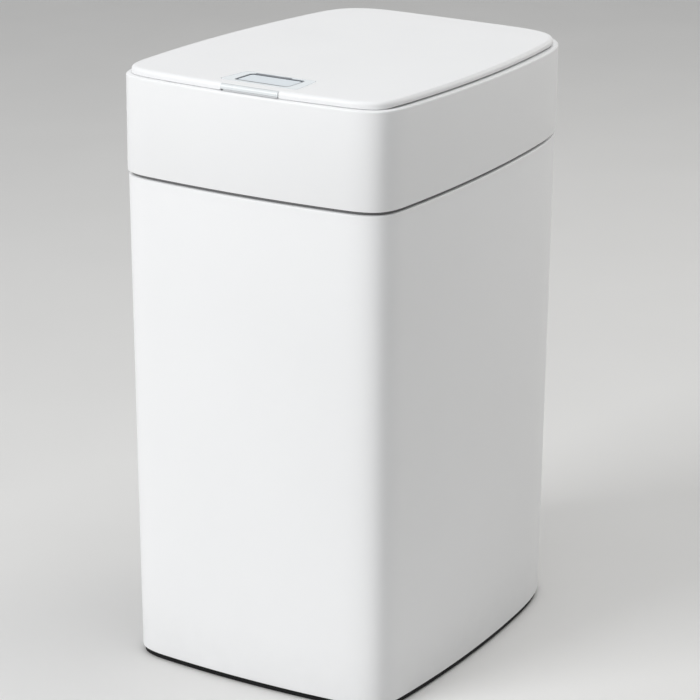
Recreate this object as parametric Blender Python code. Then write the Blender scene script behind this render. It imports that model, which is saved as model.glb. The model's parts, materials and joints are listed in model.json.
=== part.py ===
"""Slim bathroom bin with a sensor lid and a toilet brush stored inside, behind the waste bucket.

Metres, +Z up. The origin is on the floor under the middle of the bin. The short front face looks
towards -Y, and the lid opens from the front about a hinge along X near the back.
"""
import math

import bmesh
import bpy
from mathutils import Vector

# General fits
clear = 0.0003            # between pieces that touch
slide_fit = 0.0005        # between pieces that slide in each other
cut_over = 0.0020         # how far a cutter runs past the face it cuts

# Outline seen from above: it narrows by the taper towards the back, and a corner's share pulls it
# out towards its peak
head_width = 0.2297
head_depth = 0.3160
taper = 0.0063
side_bulge = 0.0103
front_bulge = 0.0065
front_radius = 0.0295
rear_radius = 0.0800
front_corner_share = 1.925
rear_corner_share = 2.209
corner_limit_share = 0.95
least_radius = 0.0020
side_steps = 6
corner_steps = 8

# Heights of the body
pad_show = 0.0010
strip_height = 0.0032
barrel_height = 0.3676
seam_gap = 0.0026
head_height = 0.0677
rim_tilt = math.radians(1.186)

# Outer barrel
barrel_inset = 0.0008
barrel_wall = 0.0025
side_draft = 0.0016
front_draft = 0.0061
barrel_rim_width = 0.0060
barrel_rim_drop = 0.0060
barrel_edge = 0.0015
barrel_lip = 0.0006

# Base plinth and its pads
plinth_inset = 0.0014
plinth_chamfer = 0.0008
plinth_floor = 0.0025
plinth_wall = 0.0020
plinth_upstand = 0.0120
pad_radius = 0.0090
pad_edge_x = 0.0310
pad_edge_y = 0.0340
rear_pad_in = 0.0170

# Seam gasket
gasket_recess = 0.0004
gasket_width = 0.0032

# Waste bucket and bag ring
bucket_side_gap = 0.0021
bucket_radius = 0.0220
bucket_taper = 0.0030
bucket_wall = 0.0020
bucket_floor = 0.0025
bucket_drop = 0.0220
bucket_bottom_bevel = 0.0040
bucket_flange = 0.0035
bucket_flange_height = 0.0020
grip_length = 0.0700
grip_height = 0.0170
grip_drop = 0.0160
ring_height = 0.0050
ring_inner = 0.0040

# Toilet brush and its cell
cell_half_length = 0.0420
cell_half_depth = 0.0290
cell_wall = 0.0020
cell_drop = 0.0200
bucket_to_cell = 0.0050
cup_height = 0.0550
cup_wall = 0.0016
brush_half_length = 0.0290
brush_half_depth = 0.0140
brush_head_height = 0.0960
brush_neck = 0.0100
nub_length = 0.0060
nub_inset = 0.0020
nub_draft = 0.0006
nub_rows = 7
stem_radius = 0.0050
stem_length = 0.1900
guard_thickness = 0.0040
guard_radius_gap = 0.0018
guard_drop = 0.0030
handle_collar = 0.0135
handle_waist = 0.0085
handle_knob = 0.0110
knob_height = 0.0105
collar_height = 0.0080

# Head shell
shell_wall = 0.0026
shell_edge = 0.0006
rim_radius = 0.0022
rim_flange = 0.0125
rear_flange = 0.0030
ledge_gap = 0.0020
ledge_start = 0.0070
ledge_fade = 0.0110
flange_thickness = 0.0026
flange_end = 0.0060
flange_fade = 0.0120
base_flange = 0.0068
base_flange_height = 0.0025

# Spigot ring that locates the head in the barrel
spigot_gap = 0.0007
spigot_wall = 0.0020
spigot_depth = 0.0160
spigot_flange = 0.0035
spigot_flange_height = 0.0020

# Lid
lid_side_inset = 0.0033
lid_front_inset = 0.0036
lid_rear_inset = 0.0118
lid_rear_bulge = 0.0019
lid_rear_radius = 0.0430
lid_corner_share = 1.700
lid_gap = 0.0008
lid_edge = 0.0048
lid_radius = 0.0028
lid_skin = 0.0022
hinge_setback = 0.0100
open_angle_note = 78      # degrees, the lid's stop

# Deck inside the head
deck_thickness = 0.0024
deck_drop = 0.0146
mouth_front_margin = 0.0255
mouth_side_margin = 0.0177
mouth_radius = 0.0180
deck_bar = 0.0170
chute_wall = 0.0018
waste_chute_depth = 0.0590
brush_chute_depth = 0.0550
brush_mouth_half_length = 0.0400
brush_mouth_half_depth = 0.0280
hump_reach = 0.0280
hump_to_mouth = 0.0060
post_radius = 0.0040
post_side_margin = 0.0255
post_setback = 0.0060

# Hinge
pin_radius = 0.00125
bore_radius = 0.00155
knuckle_radius = 0.0027
boss_radius = 0.0028
bracket_x = 0.0560
bracket_width = 0.0080
bracket_reach = 0.0070
bracket_back = 0.0005
arm_width = 0.0092
arm_reach = 0.0300
arm_thickness = 0.0017
pin_end_gap = 0.0003

# Drive: the sector gear on the lid and the pinion on the gear motor
tooth_module = 0.0010
sector_teeth = 22
pinion_teeth = 10
addendum_share = 0.80
dedendum_share = 1.15
tip_half_share = 0.32
pitch_half_share = 0.60
root_half_share = 0.86
gear_width = 0.0045
pinion_width = 0.0060
mesh_angle = math.radians(-135)
sector_margin = math.radians(10)
motor_radius = 0.0090
can_radius = 0.0084
gearbox_length = 0.0280
motor_length = 0.0340
saddle_wall = 0.0017
saddle_flange = 0.0070

# Cover over the motor
cover_wall = 0.0015
cover_inset = 0.0180
cover_rear_gap = 0.0003
cover_top_drop = 0.0002
notch_inner = 0.0395
notch_outer = 0.0655
notch_reach = 0.0185
screw_radius = 0.0026
screw_height = 0.0014
cover_screw_inset = 0.0055

# Electronics below the deck
plate_thickness = 0.0015
plate_inset = 0.0105
battery_radius = 0.00725
battery_length = 0.0492
battery_nub = 0.0010
battery_nub_radius = 0.0027
battery_pitch = 0.0149
battery_row_gap = 0.0018
box_wall = 0.0012
box_rear_gap = 0.0030
rib_x = 0.0300
rib_width = 0.0030
box_end_gap = 0.0005
door_half_width = 0.0518
door_margin = 0.0010
door_fit = 0.0004
board_length = 0.0420
board_height = 0.0240
board_thickness = 0.0016
board_rise = 0.0010
chip_height = 0.0040
chip_inset = 0.0050

# Power switch at the back
switch_x = 0.0300
switch_rise = 0.0120
switch_travel = 0.0040
knob_half_x = 0.0035
knob_half_z = 0.0022
knob_proud = 0.0004
tongue_half_x = 0.0090
tongue_half_z = 0.0034
tongue_thickness = 0.0014
switch_case_depth = 0.0060

# Sensor inlay on the lid
sensor_x = 0.0040
inlay_front_half = 0.0304
inlay_back_half = 0.0279
inlay_front_margin = 0.0106
inlay_depth = 0.0308
inlay_radius = 0.0040
inlay_recess = 0.0013
button_half_x = 0.0214
button_half_y = 0.0102
button_radius = 0.0030
button_front_margin = 0.0055
button_fit = 0.0004
button_sink = 0.0003
button_thickness = 0.0023
button_peg_radius = 0.0014
button_peg_length = 0.0020
tab_half_width = 0.0235
tab_height = 0.0044
tab_proud = 0.0006
tab_seat = 0.0030
tab_rise = 0.0006
tab_bevel = 0.0007

# Lid liner, sensor board, spring and bumpers
liner_side_margin = 0.0197
liner_front_margin = 0.0178
liner_back_gap = 0.0080
liner_radius = 0.0140
liner_drop = 0.0060
liner_wall = 0.0016
liner_floor = 0.0018
sensor_board_half = 0.0240
sensor_board_depth = 0.0170
sensor_board_thickness = 0.0016
spring_radius = 0.0028
spring_wire = 0.00035
spring_turns = 4
spring_points = 9
bumper_radius = 0.0025
bumper_inset = 0.0095
bumper_front_x = 0.0600
bumper_side_y = 0.0700

# Levels and places that follow from the sizes above
half_width = head_width / 2
half_depth = head_depth / 2
taper_push = taper * taper / (4 * side_bulge)
corner_x = half_width - side_bulge - taper_push
corner_y = half_depth - front_bulge
barrel_bottom = pad_show + strip_height
barrel_top = barrel_bottom + barrel_height
head_bottom = barrel_top + seam_gap
rim_level = head_bottom + head_height
floor_top = pad_show + plinth_floor
lid_back = corner_y - lid_rear_inset
lid_front = corner_y - lid_front_inset + front_bulge
hinge_y = lid_back + lid_rear_bulge - hinge_setback
hinge_z = rim_level - math.tan(rim_tilt) * hinge_y
lid_top = lid_gap + lid_edge
skin_under = lid_top - lid_skin
deck_top = hinge_z - deck_drop
hump_front = hinge_y - hump_reach
brush_y = hump_front - hump_to_mouth - brush_mouth_half_depth
mouth_back = brush_y - brush_mouth_half_depth - deck_bar
mouth_front = mouth_front_margin - half_depth
mouth_half_width = corner_x - mouth_side_margin
liner_half_width = corner_x - liner_side_margin
post_x = corner_x - post_side_margin
bucket_top = barrel_top - bucket_drop
bucket_half_width = corner_x - barrel_inset - side_draft - barrel_wall - bucket_side_gap
bucket_front = barrel_inset + front_draft + barrel_wall + bucket_side_gap - corner_y
bucket_back = brush_y - cell_half_depth - cell_wall - bucket_to_cell
cell_top = barrel_top - cell_drop
plate_low = head_bottom + clear
plate_top = plate_low + plate_thickness
box_low = head_bottom + base_flange_height + clear + spigot_flange_height + clear
box_high = box_low + 2 * box_wall + battery_pitch


def material(name, colour, roughness, metallic=0.0):
    """A plain surface for one kind of material."""
    shader = bpy.data.materials.new(name)
    shader.use_nodes = True
    socket = shader.node_tree.nodes["Principled BSDF"].inputs
    socket["Base Color"].default_value = (*colour, 1.0)
    socket["Roughness"].default_value = roughness
    socket["Metallic"].default_value = metallic
    shader.diffuse_color = (*colour, 1.0)
    return shader


def finish(name, mesh_data, surface, parent=None, smooth=True):
    """Make the object for a bmesh, with its faces turned outwards."""
    bmesh.ops.recalc_face_normals(mesh_data, faces=mesh_data.faces)
    mesh = bpy.data.meshes.new(name)
    mesh_data.to_mesh(mesh)
    mesh_data.free()
    if smooth:
        mesh.shade_smooth()
        mesh.set_sharp_from_angle(angle=math.radians(35))
    piece = bpy.data.objects.new(name, mesh)
    bpy.context.scene.collection.objects.link(piece)
    if surface:
        mesh.materials.append(surface)
    if parent:
        piece.parent = parent
    return piece


def hide_cutter(piece):
    """A cutter stays in the file as a wire guide."""
    piece.hide_render = True
    piece.display_type = "WIRE"
    return piece


def combine(piece, other, operation):
    """Add a Boolean step to a piece, and keep the other object as a guide."""
    hide_cutter(other)
    step = piece.modifiers.new(other.name, "BOOLEAN")
    step.operation = operation
    step.object = other
    step.solver = "EXACT"


def rounded(points, radius, steps=4):
    """A closed outline of straight sides with a round corner at each point, anticlockwise."""
    outline = []
    count = len(points)
    for index, corner in enumerate(points):
        here = Vector(corner)
        back = (Vector(points[index - 1]) - here).normalized()
        ahead = (Vector(points[(index + 1) % count]) - here).normalized()
        half = back.angle(ahead) / 2
        centre = here + (back + ahead).normalized() * (radius / math.sin(half))
        start = here + back * (radius / math.tan(half)) - centre
        turn = math.pi - 2 * half
        for step in range(steps + 1):
            angle = turn * step / steps
            spun = Vector((start.x * math.cos(angle) - start.y * math.sin(angle),
                           start.x * math.sin(angle) + start.y * math.cos(angle)))
            outline.append(centre + spun)
    return outline


def rectangle(centre_x, centre_y, half_x, half_y, radius, steps=4):
    """A rounded rectangle seen from above."""
    low_x, high_x = centre_x - half_x, centre_x + half_x
    low_y, high_y = centre_y - half_y, centre_y + half_y
    corners = [(low_x, low_y), (high_x, low_y), (high_x, high_y), (low_x, high_y)]
    return rounded(corners, radius, steps)


def bowed_side(start, end, outwards, bulge, share):
    """A point on a bowed side, and the direction of travel there."""
    run = end - start
    place = start + run * share + outwards * (bulge * (1 - (2 * share - 1) ** 2))
    travel = run - outwards * (bulge * 4 * (2 * share - 1))
    return place, travel.normalized()


def bowed_plan(x, front, back, back_bulge, fronts, rears, rear_share):
    """Four bowed sides joined by conic corners, anticlockwise from the front left corner."""
    rears = min(rears, corner_limit_share * (x - taper))
    corners = [Vector(place) for place in ((-x - taper, -front), (x + taper, -front),
                                           (x - taper, back), (taper - x, back))]
    outwards = [Vector(way) for way in ((0, -1), (1, 0), (0, 1), (-1, 0))]
    bulges = [front_bulge, side_bulge, back_bulge, side_bulge]
    radii = [fronts, fronts, rears, rears]
    shares = [front_corner_share, front_corner_share, rear_share, rear_share]
    points = []
    for side in range(4):
        ahead = (side + 1) % 4
        beyond = (side + 2) % 4
        start, end, last = corners[side], corners[ahead], corners[beyond]
        length = (end - start).length
        first_share = radii[side] / length
        last_share = 1 - radii[ahead] / length
        for step in range(side_steps + 1):
            share = first_share + (last_share - first_share) * step / side_steps
            points.append(bowed_side(start, end, outwards[side], bulges[side], share)[0])
        leave, way_out = bowed_side(start, end, outwards[side], bulges[side], last_share)
        enter_share = radii[ahead] / (last - end).length
        enter, way_in = bowed_side(end, last, outwards[ahead], bulges[ahead], enter_share)
        cross = way_out.x * way_in.y - way_out.y * way_in.x
        gap = enter - leave
        peak = leave + way_out * ((gap.x * way_in.y - gap.y * way_in.x) / cross)
        weight = math.cos(way_out.angle(way_in) / 2) * shares[ahead]
        for step in range(1, corner_steps):
            share = step / corner_steps
            parts = ((1 - share) ** 2, 2 * weight * share * (1 - share), share ** 2)
            blend = leave * parts[0] + peak * parts[1] + enter * parts[2]
            points.append(blend / sum(parts))
    return points


def plan(inset=0.0, side_in=0.0, front_in=0.0):
    """The outline of the barrel and the head, inset all round and then along x and y."""
    x = corner_x - inset - side_in
    y = corner_y - inset - front_in
    fronts = max(front_radius - inset, least_radius)
    rears = max(rear_radius - inset, least_radius)
    return bowed_plan(x, y, y, front_bulge, fronts, rears, rear_corner_share)


def lid_plan(inset=0.0):
    """The lid's outline: it follows the head's, but keeps clear of it at the back to swing."""
    fronts = max(front_radius - lid_side_inset - inset, least_radius)
    rears = max(lid_rear_radius - inset, least_radius)
    return bowed_plan(corner_x - lid_side_inset - inset, corner_y - lid_front_inset - inset,
                      lid_back - inset, lid_rear_bulge, fronts, rears, lid_corner_share)


def keep_beyond(points, limit, sign):
    """The part of an outline beyond y = limit, towards +Y for sign 1 and towards -Y for sign -1."""
    kept = []
    for index, here in enumerate(points):
        last = points[index - 1]
        if (here.y - limit) * (last.y - limit) < 0:
            kept.append(last.lerp(here, (limit - last.y) / (here.y - last.y)))
        if sign * (here.y - limit) >= 0:
            kept.append(here)
    return kept


def band(inset, front, back):
    """An inset outline cut off straight at the front and at the back."""
    return keep_beyond(keep_beyond(plan(inset), front, 1), back, -1)


def mid(points_a, points_b, weight_of):
    """An outline between two others, with a weight that each point chooses for itself."""
    return [a.lerp(b, weight_of(a)) for a, b in zip(points_a, points_b)]


def level(points, height):
    """Lift a flat outline to a height, which may be a function of y."""
    if callable(height):
        return [Vector((p.x, p.y, height(p.y))) for p in points]
    return [Vector((p.x, p.y, height)) for p in points]


def shift(points, move_y):
    """Move an outline along y."""
    return [Vector((p.x, p.y + move_y)) for p in points]


def loft(name, rings, surface, parent=None, closed=False):
    """Skin a stack of rings. Closed joins the last ring to the first, otherwise both are capped."""
    mesh_data = bmesh.new()
    rows = [[mesh_data.verts.new(point) for point in ring] for ring in rings]
    pairs = list(zip(rows, rows[1:]))
    if closed:
        pairs.append((rows[-1], rows[0]))
    for low, high in pairs:
        count = len(low)
        for index in range(count):
            nxt = (index + 1) % count
            mesh_data.faces.new((low[index], low[nxt], high[nxt], high[index]))
    if not closed:
        mesh_data.faces.new(rows[0])
        mesh_data.faces.new(rows[-1])
    return finish(name, mesh_data, surface, parent)


def prism(name, points, low, high, surface, parent=None):
    """A flat outline pulled straight up from one height to another."""
    return loft(name, [level(points, low), level(points, high)], surface, parent)


def side_prism(name, points, low_x, high_x, surface, parent=None):
    """An outline in the YZ plane pulled along X."""
    rings = [[Vector((x, p[0], p[1])) for p in points] for x in (low_x, high_x)]
    return loft(name, rings, surface, parent)


def block(name, low, high, surface, parent=None, bevel=0.0):
    """A box between two corners, with its edges rounded over."""
    mesh_data = bmesh.new()
    bmesh.ops.create_cube(mesh_data, size=1)
    centre = (Vector(low) + Vector(high)) / 2
    size = Vector(high) - Vector(low)
    for vert in mesh_data.verts:
        vert.co = centre + Vector((vert.co.x * size.x, vert.co.y * size.y, vert.co.z * size.z))
    piece = finish(name, mesh_data, surface, parent)
    if bevel:
        step = piece.modifiers.new("edges", "BEVEL")
        step.width = bevel
        step.segments = 2
    return piece


def turned(name, centre, profile, surface, parent=None, segments=24, along_x=False):
    """Turn a profile of (radius, height) pairs about a vertical line, or about a line along X."""
    rings = []
    for radius, height in profile:
        ring = []
        for index in range(segments):
            angle = 2 * math.pi * index / segments
            side, up = radius * math.cos(angle), radius * math.sin(angle)
            if along_x:
                ring.append(Vector(centre) + Vector((height, side, up)))
            else:
                ring.append(Vector(centre) + Vector((side, up, height)))
        rings.append(ring)
    return loft(name, rings, surface, parent)


def circle(centre_y, centre_z, radius, first, last, steps):
    """Points on an arc in the YZ plane."""
    angles = [first + (last - first) * step / steps for step in range(steps + 1)]
    return [(centre_y + radius * math.cos(a), centre_z + radius * math.sin(a)) for a in angles]


def barrel_plan(height, inset):
    """The barrel's outline at a height: it narrows a little towards the floor."""
    share = (barrel_top - height) / barrel_height
    return plan(barrel_inset + inset, side_draft * share, front_draft * share)


def rim_height(drop):
    """The head's tilted rim plane, lowered by a drop."""
    return lambda y: rim_level - math.tan(rim_tilt) * y - drop


def rear_face(x, inset=0.0):
    """How far back the head's outline is at x."""
    points = plan(inset)
    for here, ahead in zip(points, points[1:]):
        if here.y > 0 and ahead.x < x <= here.x:
            return here.y + (ahead.y - here.y) * (x - here.x) / (ahead.x - here.x)
    return half_depth - inset


def front_reach(x, inset):
    """How far forward an inset outline is at x, between its corners."""
    return corner_y - inset + front_bulge * (1 - (x / (corner_x + taper - inset)) ** 2)


def side_reach(y, inset):
    """How far out an inset outline is at y, between its corners."""
    share = y / (corner_y - inset)
    return corner_x - inset - taper * share + side_bulge * (1 - share ** 2)


def make_barrel(white):
    """The tall outer barrel, open at both ends, with a turned-in rim at the top."""
    def ring(height, inset):
        return level(barrel_plan(height, inset), height)

    rim_low = barrel_top - barrel_rim_drop
    ramp_low = rim_low - (barrel_rim_width - barrel_wall)
    loft("outer_barrel", [
        ring(barrel_bottom, barrel_edge),
        ring(barrel_bottom + barrel_edge * 0.3, barrel_edge * 0.3),
        ring(barrel_bottom + barrel_edge, 0),
        ring(barrel_top - barrel_lip, 0),
        ring(barrel_top, barrel_lip),
        ring(barrel_top, barrel_rim_width),
        ring(rim_low, barrel_rim_width),
        ring(ramp_low, barrel_wall),
        ring(barrel_bottom, barrel_wall),
    ], white, closed=True)


def make_plinth(black, rubber):
    """The black tray that closes the bottom, on four pads."""
    def ring(height, inset):
        return level(barrel_plan(barrel_bottom, inset), height)

    upstand_out = barrel_wall + clear
    upstand_in = upstand_out + plinth_wall
    shelf = barrel_bottom - clear
    loft("base_plinth", [
        ring(pad_show, plinth_inset + plinth_chamfer),
        ring(pad_show + plinth_chamfer, plinth_inset),
        ring(shelf, plinth_inset),
        ring(shelf, upstand_out),
        ring(barrel_bottom + plinth_upstand, upstand_out),
        ring(barrel_bottom + plinth_upstand, upstand_in),
        ring(floor_top, upstand_in),
    ], black)
    pad_x = half_width - pad_edge_x
    pad_y = half_depth - pad_edge_y
    rear_x = pad_x - rear_pad_in
    spots = ((-pad_x, -pad_y), (pad_x, -pad_y), (rear_x, pad_y), (-rear_x, pad_y))
    for index, (x, y) in enumerate(spots):
        turned(f"foot_pad_{index + 1}", (x, y, 0),
               [(pad_radius - clear, 0), (pad_radius, clear), (pad_radius, pad_show - clear)], rubber)


def make_gasket(grey):
    """The soft grey ring in the seam, which the head stands on."""
    def ring(height, inset):
        return level(plan(inset), height)

    inner = gasket_recess + barrel_inset + gasket_width
    outer = gasket_recess + barrel_inset
    low, high = barrel_top + clear, head_bottom - clear
    loft("seam_gasket", [ring(low, outer), ring(high, outer), ring(high, inner), ring(low, inner)],
         grey, closed=True)


def make_bucket(light_grey, ring_grey):
    """The lift-out waste bucket with two finger slots, and the ring that holds a bag on it."""
    centre_y = (bucket_front + bucket_back) / 2
    half_y = (bucket_back - bucket_front) / 2
    low = floor_top + clear
    height = bucket_top - low

    def ring(level_z, inset):
        taper = bucket_taper * (bucket_top - level_z) / height
        reach = inset + taper
        return level(rectangle(0, centre_y, bucket_half_width - reach, half_y - reach,
                               bucket_radius - inset), level_z)

    bucket = loft("inner_bucket", [
        ring(low, bucket_bottom_bevel),
        ring(low + bucket_bottom_bevel, 0),
        ring(bucket_top - bucket_flange_height, 0),
        ring(bucket_top - bucket_flange_height, -bucket_flange),
        ring(bucket_top, -bucket_flange),
        ring(bucket_top, bucket_wall),
        ring(low + bucket_floor + bucket_bottom_bevel, bucket_wall),
        ring(low + bucket_floor, bucket_wall + bucket_bottom_bevel),
    ], light_grey)
    slot_mid = bucket_top - grip_drop - grip_height / 2
    slot = rectangle(centre_y, slot_mid, grip_length / 2, grip_height / 2, grip_height * 0.45)
    reach = bucket_half_width + bucket_flange + cut_over
    combine(bucket, side_prism("grip_cutter", slot, -reach, reach, None), "DIFFERENCE")

    def hoop(level_z, inset):
        return level(rectangle(0, centre_y, bucket_half_width - inset, half_y - inset,
                               bucket_radius - inset), level_z)

    ring_low = bucket_top + clear
    ring_high = ring_low + ring_height
    loft("bag_ring", [hoop(ring_low, -bucket_flange), hoop(ring_high - clear, -bucket_flange),
                      hoop(ring_high, clear - bucket_flange), hoop(ring_high, ring_inner),
                      hoop(ring_low, ring_inner)], ring_grey, closed=True)


def make_brush_cell(light_grey, clear_cup):
    """The deep cell behind the bucket, and the drip cup that lifts out of it."""
    def ring(height, inset, bottom=0.0):
        reach = inset + bottom
        return level(rectangle(0, brush_y, cell_half_length - reach, cell_half_depth - reach,
                               cell_half_depth - reach - least_radius, 6), height)

    low = floor_top + clear
    floor = low + cell_wall
    loft("brush_cell", [ring(low, -cell_wall), ring(cell_top, -cell_wall), ring(cell_top, 0),
                        ring(floor, 0)], light_grey)
    cup_low = floor + clear
    loft("brush_cup", [ring(cup_low, slide_fit), ring(cup_low + cup_height, slide_fit),
                       ring(cup_low + cup_height, slide_fit + cup_wall),
                       ring(cup_low + cup_wall, slide_fit + cup_wall)], clear_cup)
    return cup_low + cup_wall + clear


def make_brush(low, soft_grey, steel, white, grey):
    """The brush: a nubbed soft head, a stem, a splash guard and a grip whose top shows in the deck."""
    mesh_data = bmesh.new()
    rows = []
    neck_radius = stem_radius + nub_inset
    for row in range(nub_rows + 1):
        height = low + brush_head_height * row / nub_rows
        outline = rectangle(0, brush_y, brush_half_length, brush_half_depth,
                            brush_half_depth - least_radius, 3)
        rows.append([mesh_data.verts.new((p.x, p.y, height)) for p in outline])
    nub_faces = []
    for row, (under, over) in enumerate(zip(rows, rows[1:])):
        count = len(under)
        for index in range(count):
            nxt = (index + 1) % count
            face = mesh_data.faces.new((under[index], under[nxt], over[nxt], over[index]))
            if 0 < row < nub_rows - 1 and face.calc_area() > nub_inset * nub_inset * 2:
                nub_faces.append(face)
    mesh_data.faces.new(list(reversed(rows[0])))
    top = mesh_data.faces.new(rows[-1])
    for face in nub_faces:
        bmesh.ops.inset_individual(mesh_data, faces=[face], thickness=nub_inset)
    for face in nub_faces:
        normal = face.normal.copy()
        face.normal_update()
        pulled = bmesh.ops.extrude_discrete_faces(mesh_data, faces=[face])["faces"][0]
        for vert in pulled.verts:
            vert.co += normal * nub_length
    narrowed = bmesh.ops.extrude_discrete_faces(mesh_data, faces=[top])["faces"][0]
    head_top = low + brush_head_height + brush_neck
    for vert in narrowed.verts:
        way = Vector((vert.co.x, vert.co.y - brush_y)).normalized() * neck_radius
        vert.co = Vector((way.x, brush_y + way.y, head_top))
    finish("brush_head", mesh_data, soft_grey)

    stem_low = head_top + clear
    stem_high = stem_low + stem_length
    turned("brush_stem", (0, brush_y, 0), [(stem_radius, stem_low), (stem_radius, stem_high)], steel,
           segments=16)
    guard_high = deck_top - guard_drop
    guard_low = guard_high - guard_thickness
    grip_low = stem_high + clear
    grip_top = guard_high + knob_height
    collar_top = guard_low - clear
    turned("brush_handle", (0, brush_y, 0), [
        (stem_radius + nub_inset, grip_low),
        (handle_waist, grip_low + nub_inset),
        (handle_waist, collar_top - collar_height),
        (handle_collar, collar_top - clear),
        (handle_collar, collar_top),
        (handle_knob - clear, collar_top),
        (handle_knob - clear, grip_top - nub_inset),
        (handle_knob - nub_inset, grip_top),
    ], white, segments=20)
    guard = prism("brush_guard", rectangle(
        0, brush_y, brush_mouth_half_length - guard_radius_gap, brush_mouth_half_depth - guard_radius_gap,
        brush_mouth_half_depth - guard_radius_gap - least_radius, 6), guard_low, guard_high, grey)
    bore = turned("guard_cutter", (0, brush_y, 0),
                  [(handle_knob, guard_low - cut_over), (handle_knob, guard_high + cut_over)], None,
                  segments=20)
    combine(guard, bore, "DIFFERENCE")


def door_levels():
    """The lowest and highest point of the battery door."""
    return box_low + door_margin, box_high - door_margin


def make_head_shell(white):
    """The head's outer shell: a rounded, tilted rim on three sides that fades out at the hinge."""
    def ring(height, inset):
        return level(plan(inset), height)

    def corner(share):
        turn = share * math.pi / 2
        drop = rim_radius * (1 - math.sin(turn))
        return ring(rim_height(drop), rim_radius * (1 - math.cos(turn)))

    def rear_weight(point):
        start = hinge_y - flange_end - flange_fade
        return min(max((point.y - start) / flange_fade, 0.0), 1.0)

    def ledge_weight(point):
        return min(max((point.y - hinge_y - ledge_start) / ledge_fade, 0.0), 1.0)

    sides = mid(plan(rim_flange), plan(rear_flange), rear_weight)
    mouth = mid(sides, lid_plan(-ledge_gap), ledge_weight)
    shell = loft("head_shell", [
        ring(head_bottom, shell_edge),
        ring(head_bottom + shell_edge, 0),
        corner(0.0), corner(0.25), corner(0.5), corner(0.75), corner(1.0),
        level(mouth, rim_height(0.0)),
        level(mouth, rim_height(flange_thickness)),
        ring(rim_height(flange_thickness), shell_wall),
        ring(head_bottom + base_flange_height, shell_wall),
        ring(head_bottom + base_flange_height, base_flange),
        ring(head_bottom, base_flange),
    ], white, closed=True)
    low, high = door_levels()
    door_hole = block("door_cutter",
                      (-door_half_width - door_fit, hinge_y, low - door_fit),
                      (door_half_width + door_fit, half_depth + cut_over, high + door_fit), None)
    combine(shell, door_hole, "DIFFERENCE")
    slot_z = high + door_margin + switch_rise
    slot = block("switch_cutter",
                 (switch_x - knob_half_x - door_fit, hinge_y, slot_z - knob_half_z - door_fit),
                 (switch_x + switch_travel + knob_half_x + door_fit, half_depth + cut_over,
                  slot_z + knob_half_z + door_fit), None)
    combine(shell, slot, "DIFFERENCE")
    return slot_z


def make_spigot(grey):
    """The ring that hangs from the shell's lower edge and drops inside the barrel's rim."""
    def ring(height, inset):
        return level(plan(inset), height)

    outer = barrel_inset + barrel_rim_width + spigot_gap
    inner = outer + spigot_wall
    ledge = head_bottom + base_flange_height + clear
    top = ledge + spigot_flange_height
    low = barrel_top - spigot_depth
    loft("spigot_ring", [
        ring(low, outer), ring(ledge, outer), ring(ledge, outer - spigot_flange),
        ring(top, outer - spigot_flange), ring(top, inner), ring(low, inner),
    ], grey, closed=True)


def make_deck(white):
    """The deck under the lid, with the waste mouth, the brush mouth and their chutes."""
    low = deck_top - deck_thickness
    deck = prism("head_deck", plan(shell_wall + clear), low, deck_top, white)
    waste_y = (mouth_front + mouth_back) / 2
    waste_half = (mouth_back - mouth_front) / 2
    mouths = (
        ("waste", waste_y, mouth_half_width, waste_half, mouth_radius, waste_chute_depth, 4),
        ("brush", brush_y, brush_mouth_half_length, brush_mouth_half_depth,
         brush_mouth_half_depth - least_radius, brush_chute_depth, 6),
    )
    for title, y, half_x, half_y, radius, depth, steps in mouths:
        outer = rectangle(0, y, half_x + chute_wall, half_y + chute_wall, radius + chute_wall, steps)
        combine(deck, prism(f"{title}_chute", outer, deck_top - depth, deck_top - deck_thickness / 2,
                            None), "UNION")
    for x in (-post_x, post_x):
        post = turned(f"post_{'left' if x < 0 else 'right'}", (x, hump_front + post_setback, 0),
                      [(post_radius, plate_top + clear), (post_radius, deck_top - deck_thickness / 2)],
                      None, segments=16)
        combine(deck, post, "UNION")
    for title, y, half_x, half_y, radius, depth, steps in mouths:
        combine(deck, prism(f"{title}_mouth_cutter", rectangle(0, y, half_x, half_y, radius, steps),
                            deck_top - depth - cut_over, deck_top + cut_over, None), "DIFFERENCE")
    pinion_y, pinion_z = pinion_centre()
    well = block("motor_well_cutter",
                 (-bracket_x, pinion_y - motor_radius - slide_fit, low - cut_over),
                 (gearbox_length + motor_length - notch_inner + slide_fit + pinion_width,
                  pinion_y + motor_radius + slide_fit, deck_top + cut_over), None)
    combine(deck, well, "DIFFERENCE")


def pinion_centre():
    """The pinion's axis, where it meshes with the sector gear about the hinge."""
    distance = tooth_module * (sector_teeth + pinion_teeth) / 2
    return hinge_y + distance * math.cos(mesh_angle), hinge_z + distance * math.sin(mesh_angle)


def gear_outline(teeth, first_tooth, last_tooth, phase, full):
    """Points round a gear of straight-flanked teeth, about the origin."""
    radius = teeth * tooth_module / 2
    tip = radius + addendum_share * tooth_module
    root = radius - dedendum_share * tooth_module
    pitch = 2 * math.pi / teeth
    points = []
    for tooth in range(first_tooth, last_tooth):
        angle = phase + tooth * pitch
        flank = ((root, root_half_share), (radius, pitch_half_share), (tip, tip_half_share))
        for distance, share in flank:
            points.append((distance, angle - share * tooth_module / distance))
        for distance, share in reversed(flank):
            points.append((distance, angle + share * tooth_module / distance))
    if not full:
        reach = knuckle_radius
        points.append((reach, points[-1][1]))
        turns = 12
        start = points[-1][1]
        end = points[0][1] + 2 * math.pi
        points += [(reach, start + (end - start) * step / turns) for step in range(1, turns + 1)]
    return [(distance * math.cos(angle), distance * math.sin(angle)) for distance, angle in points]


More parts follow.
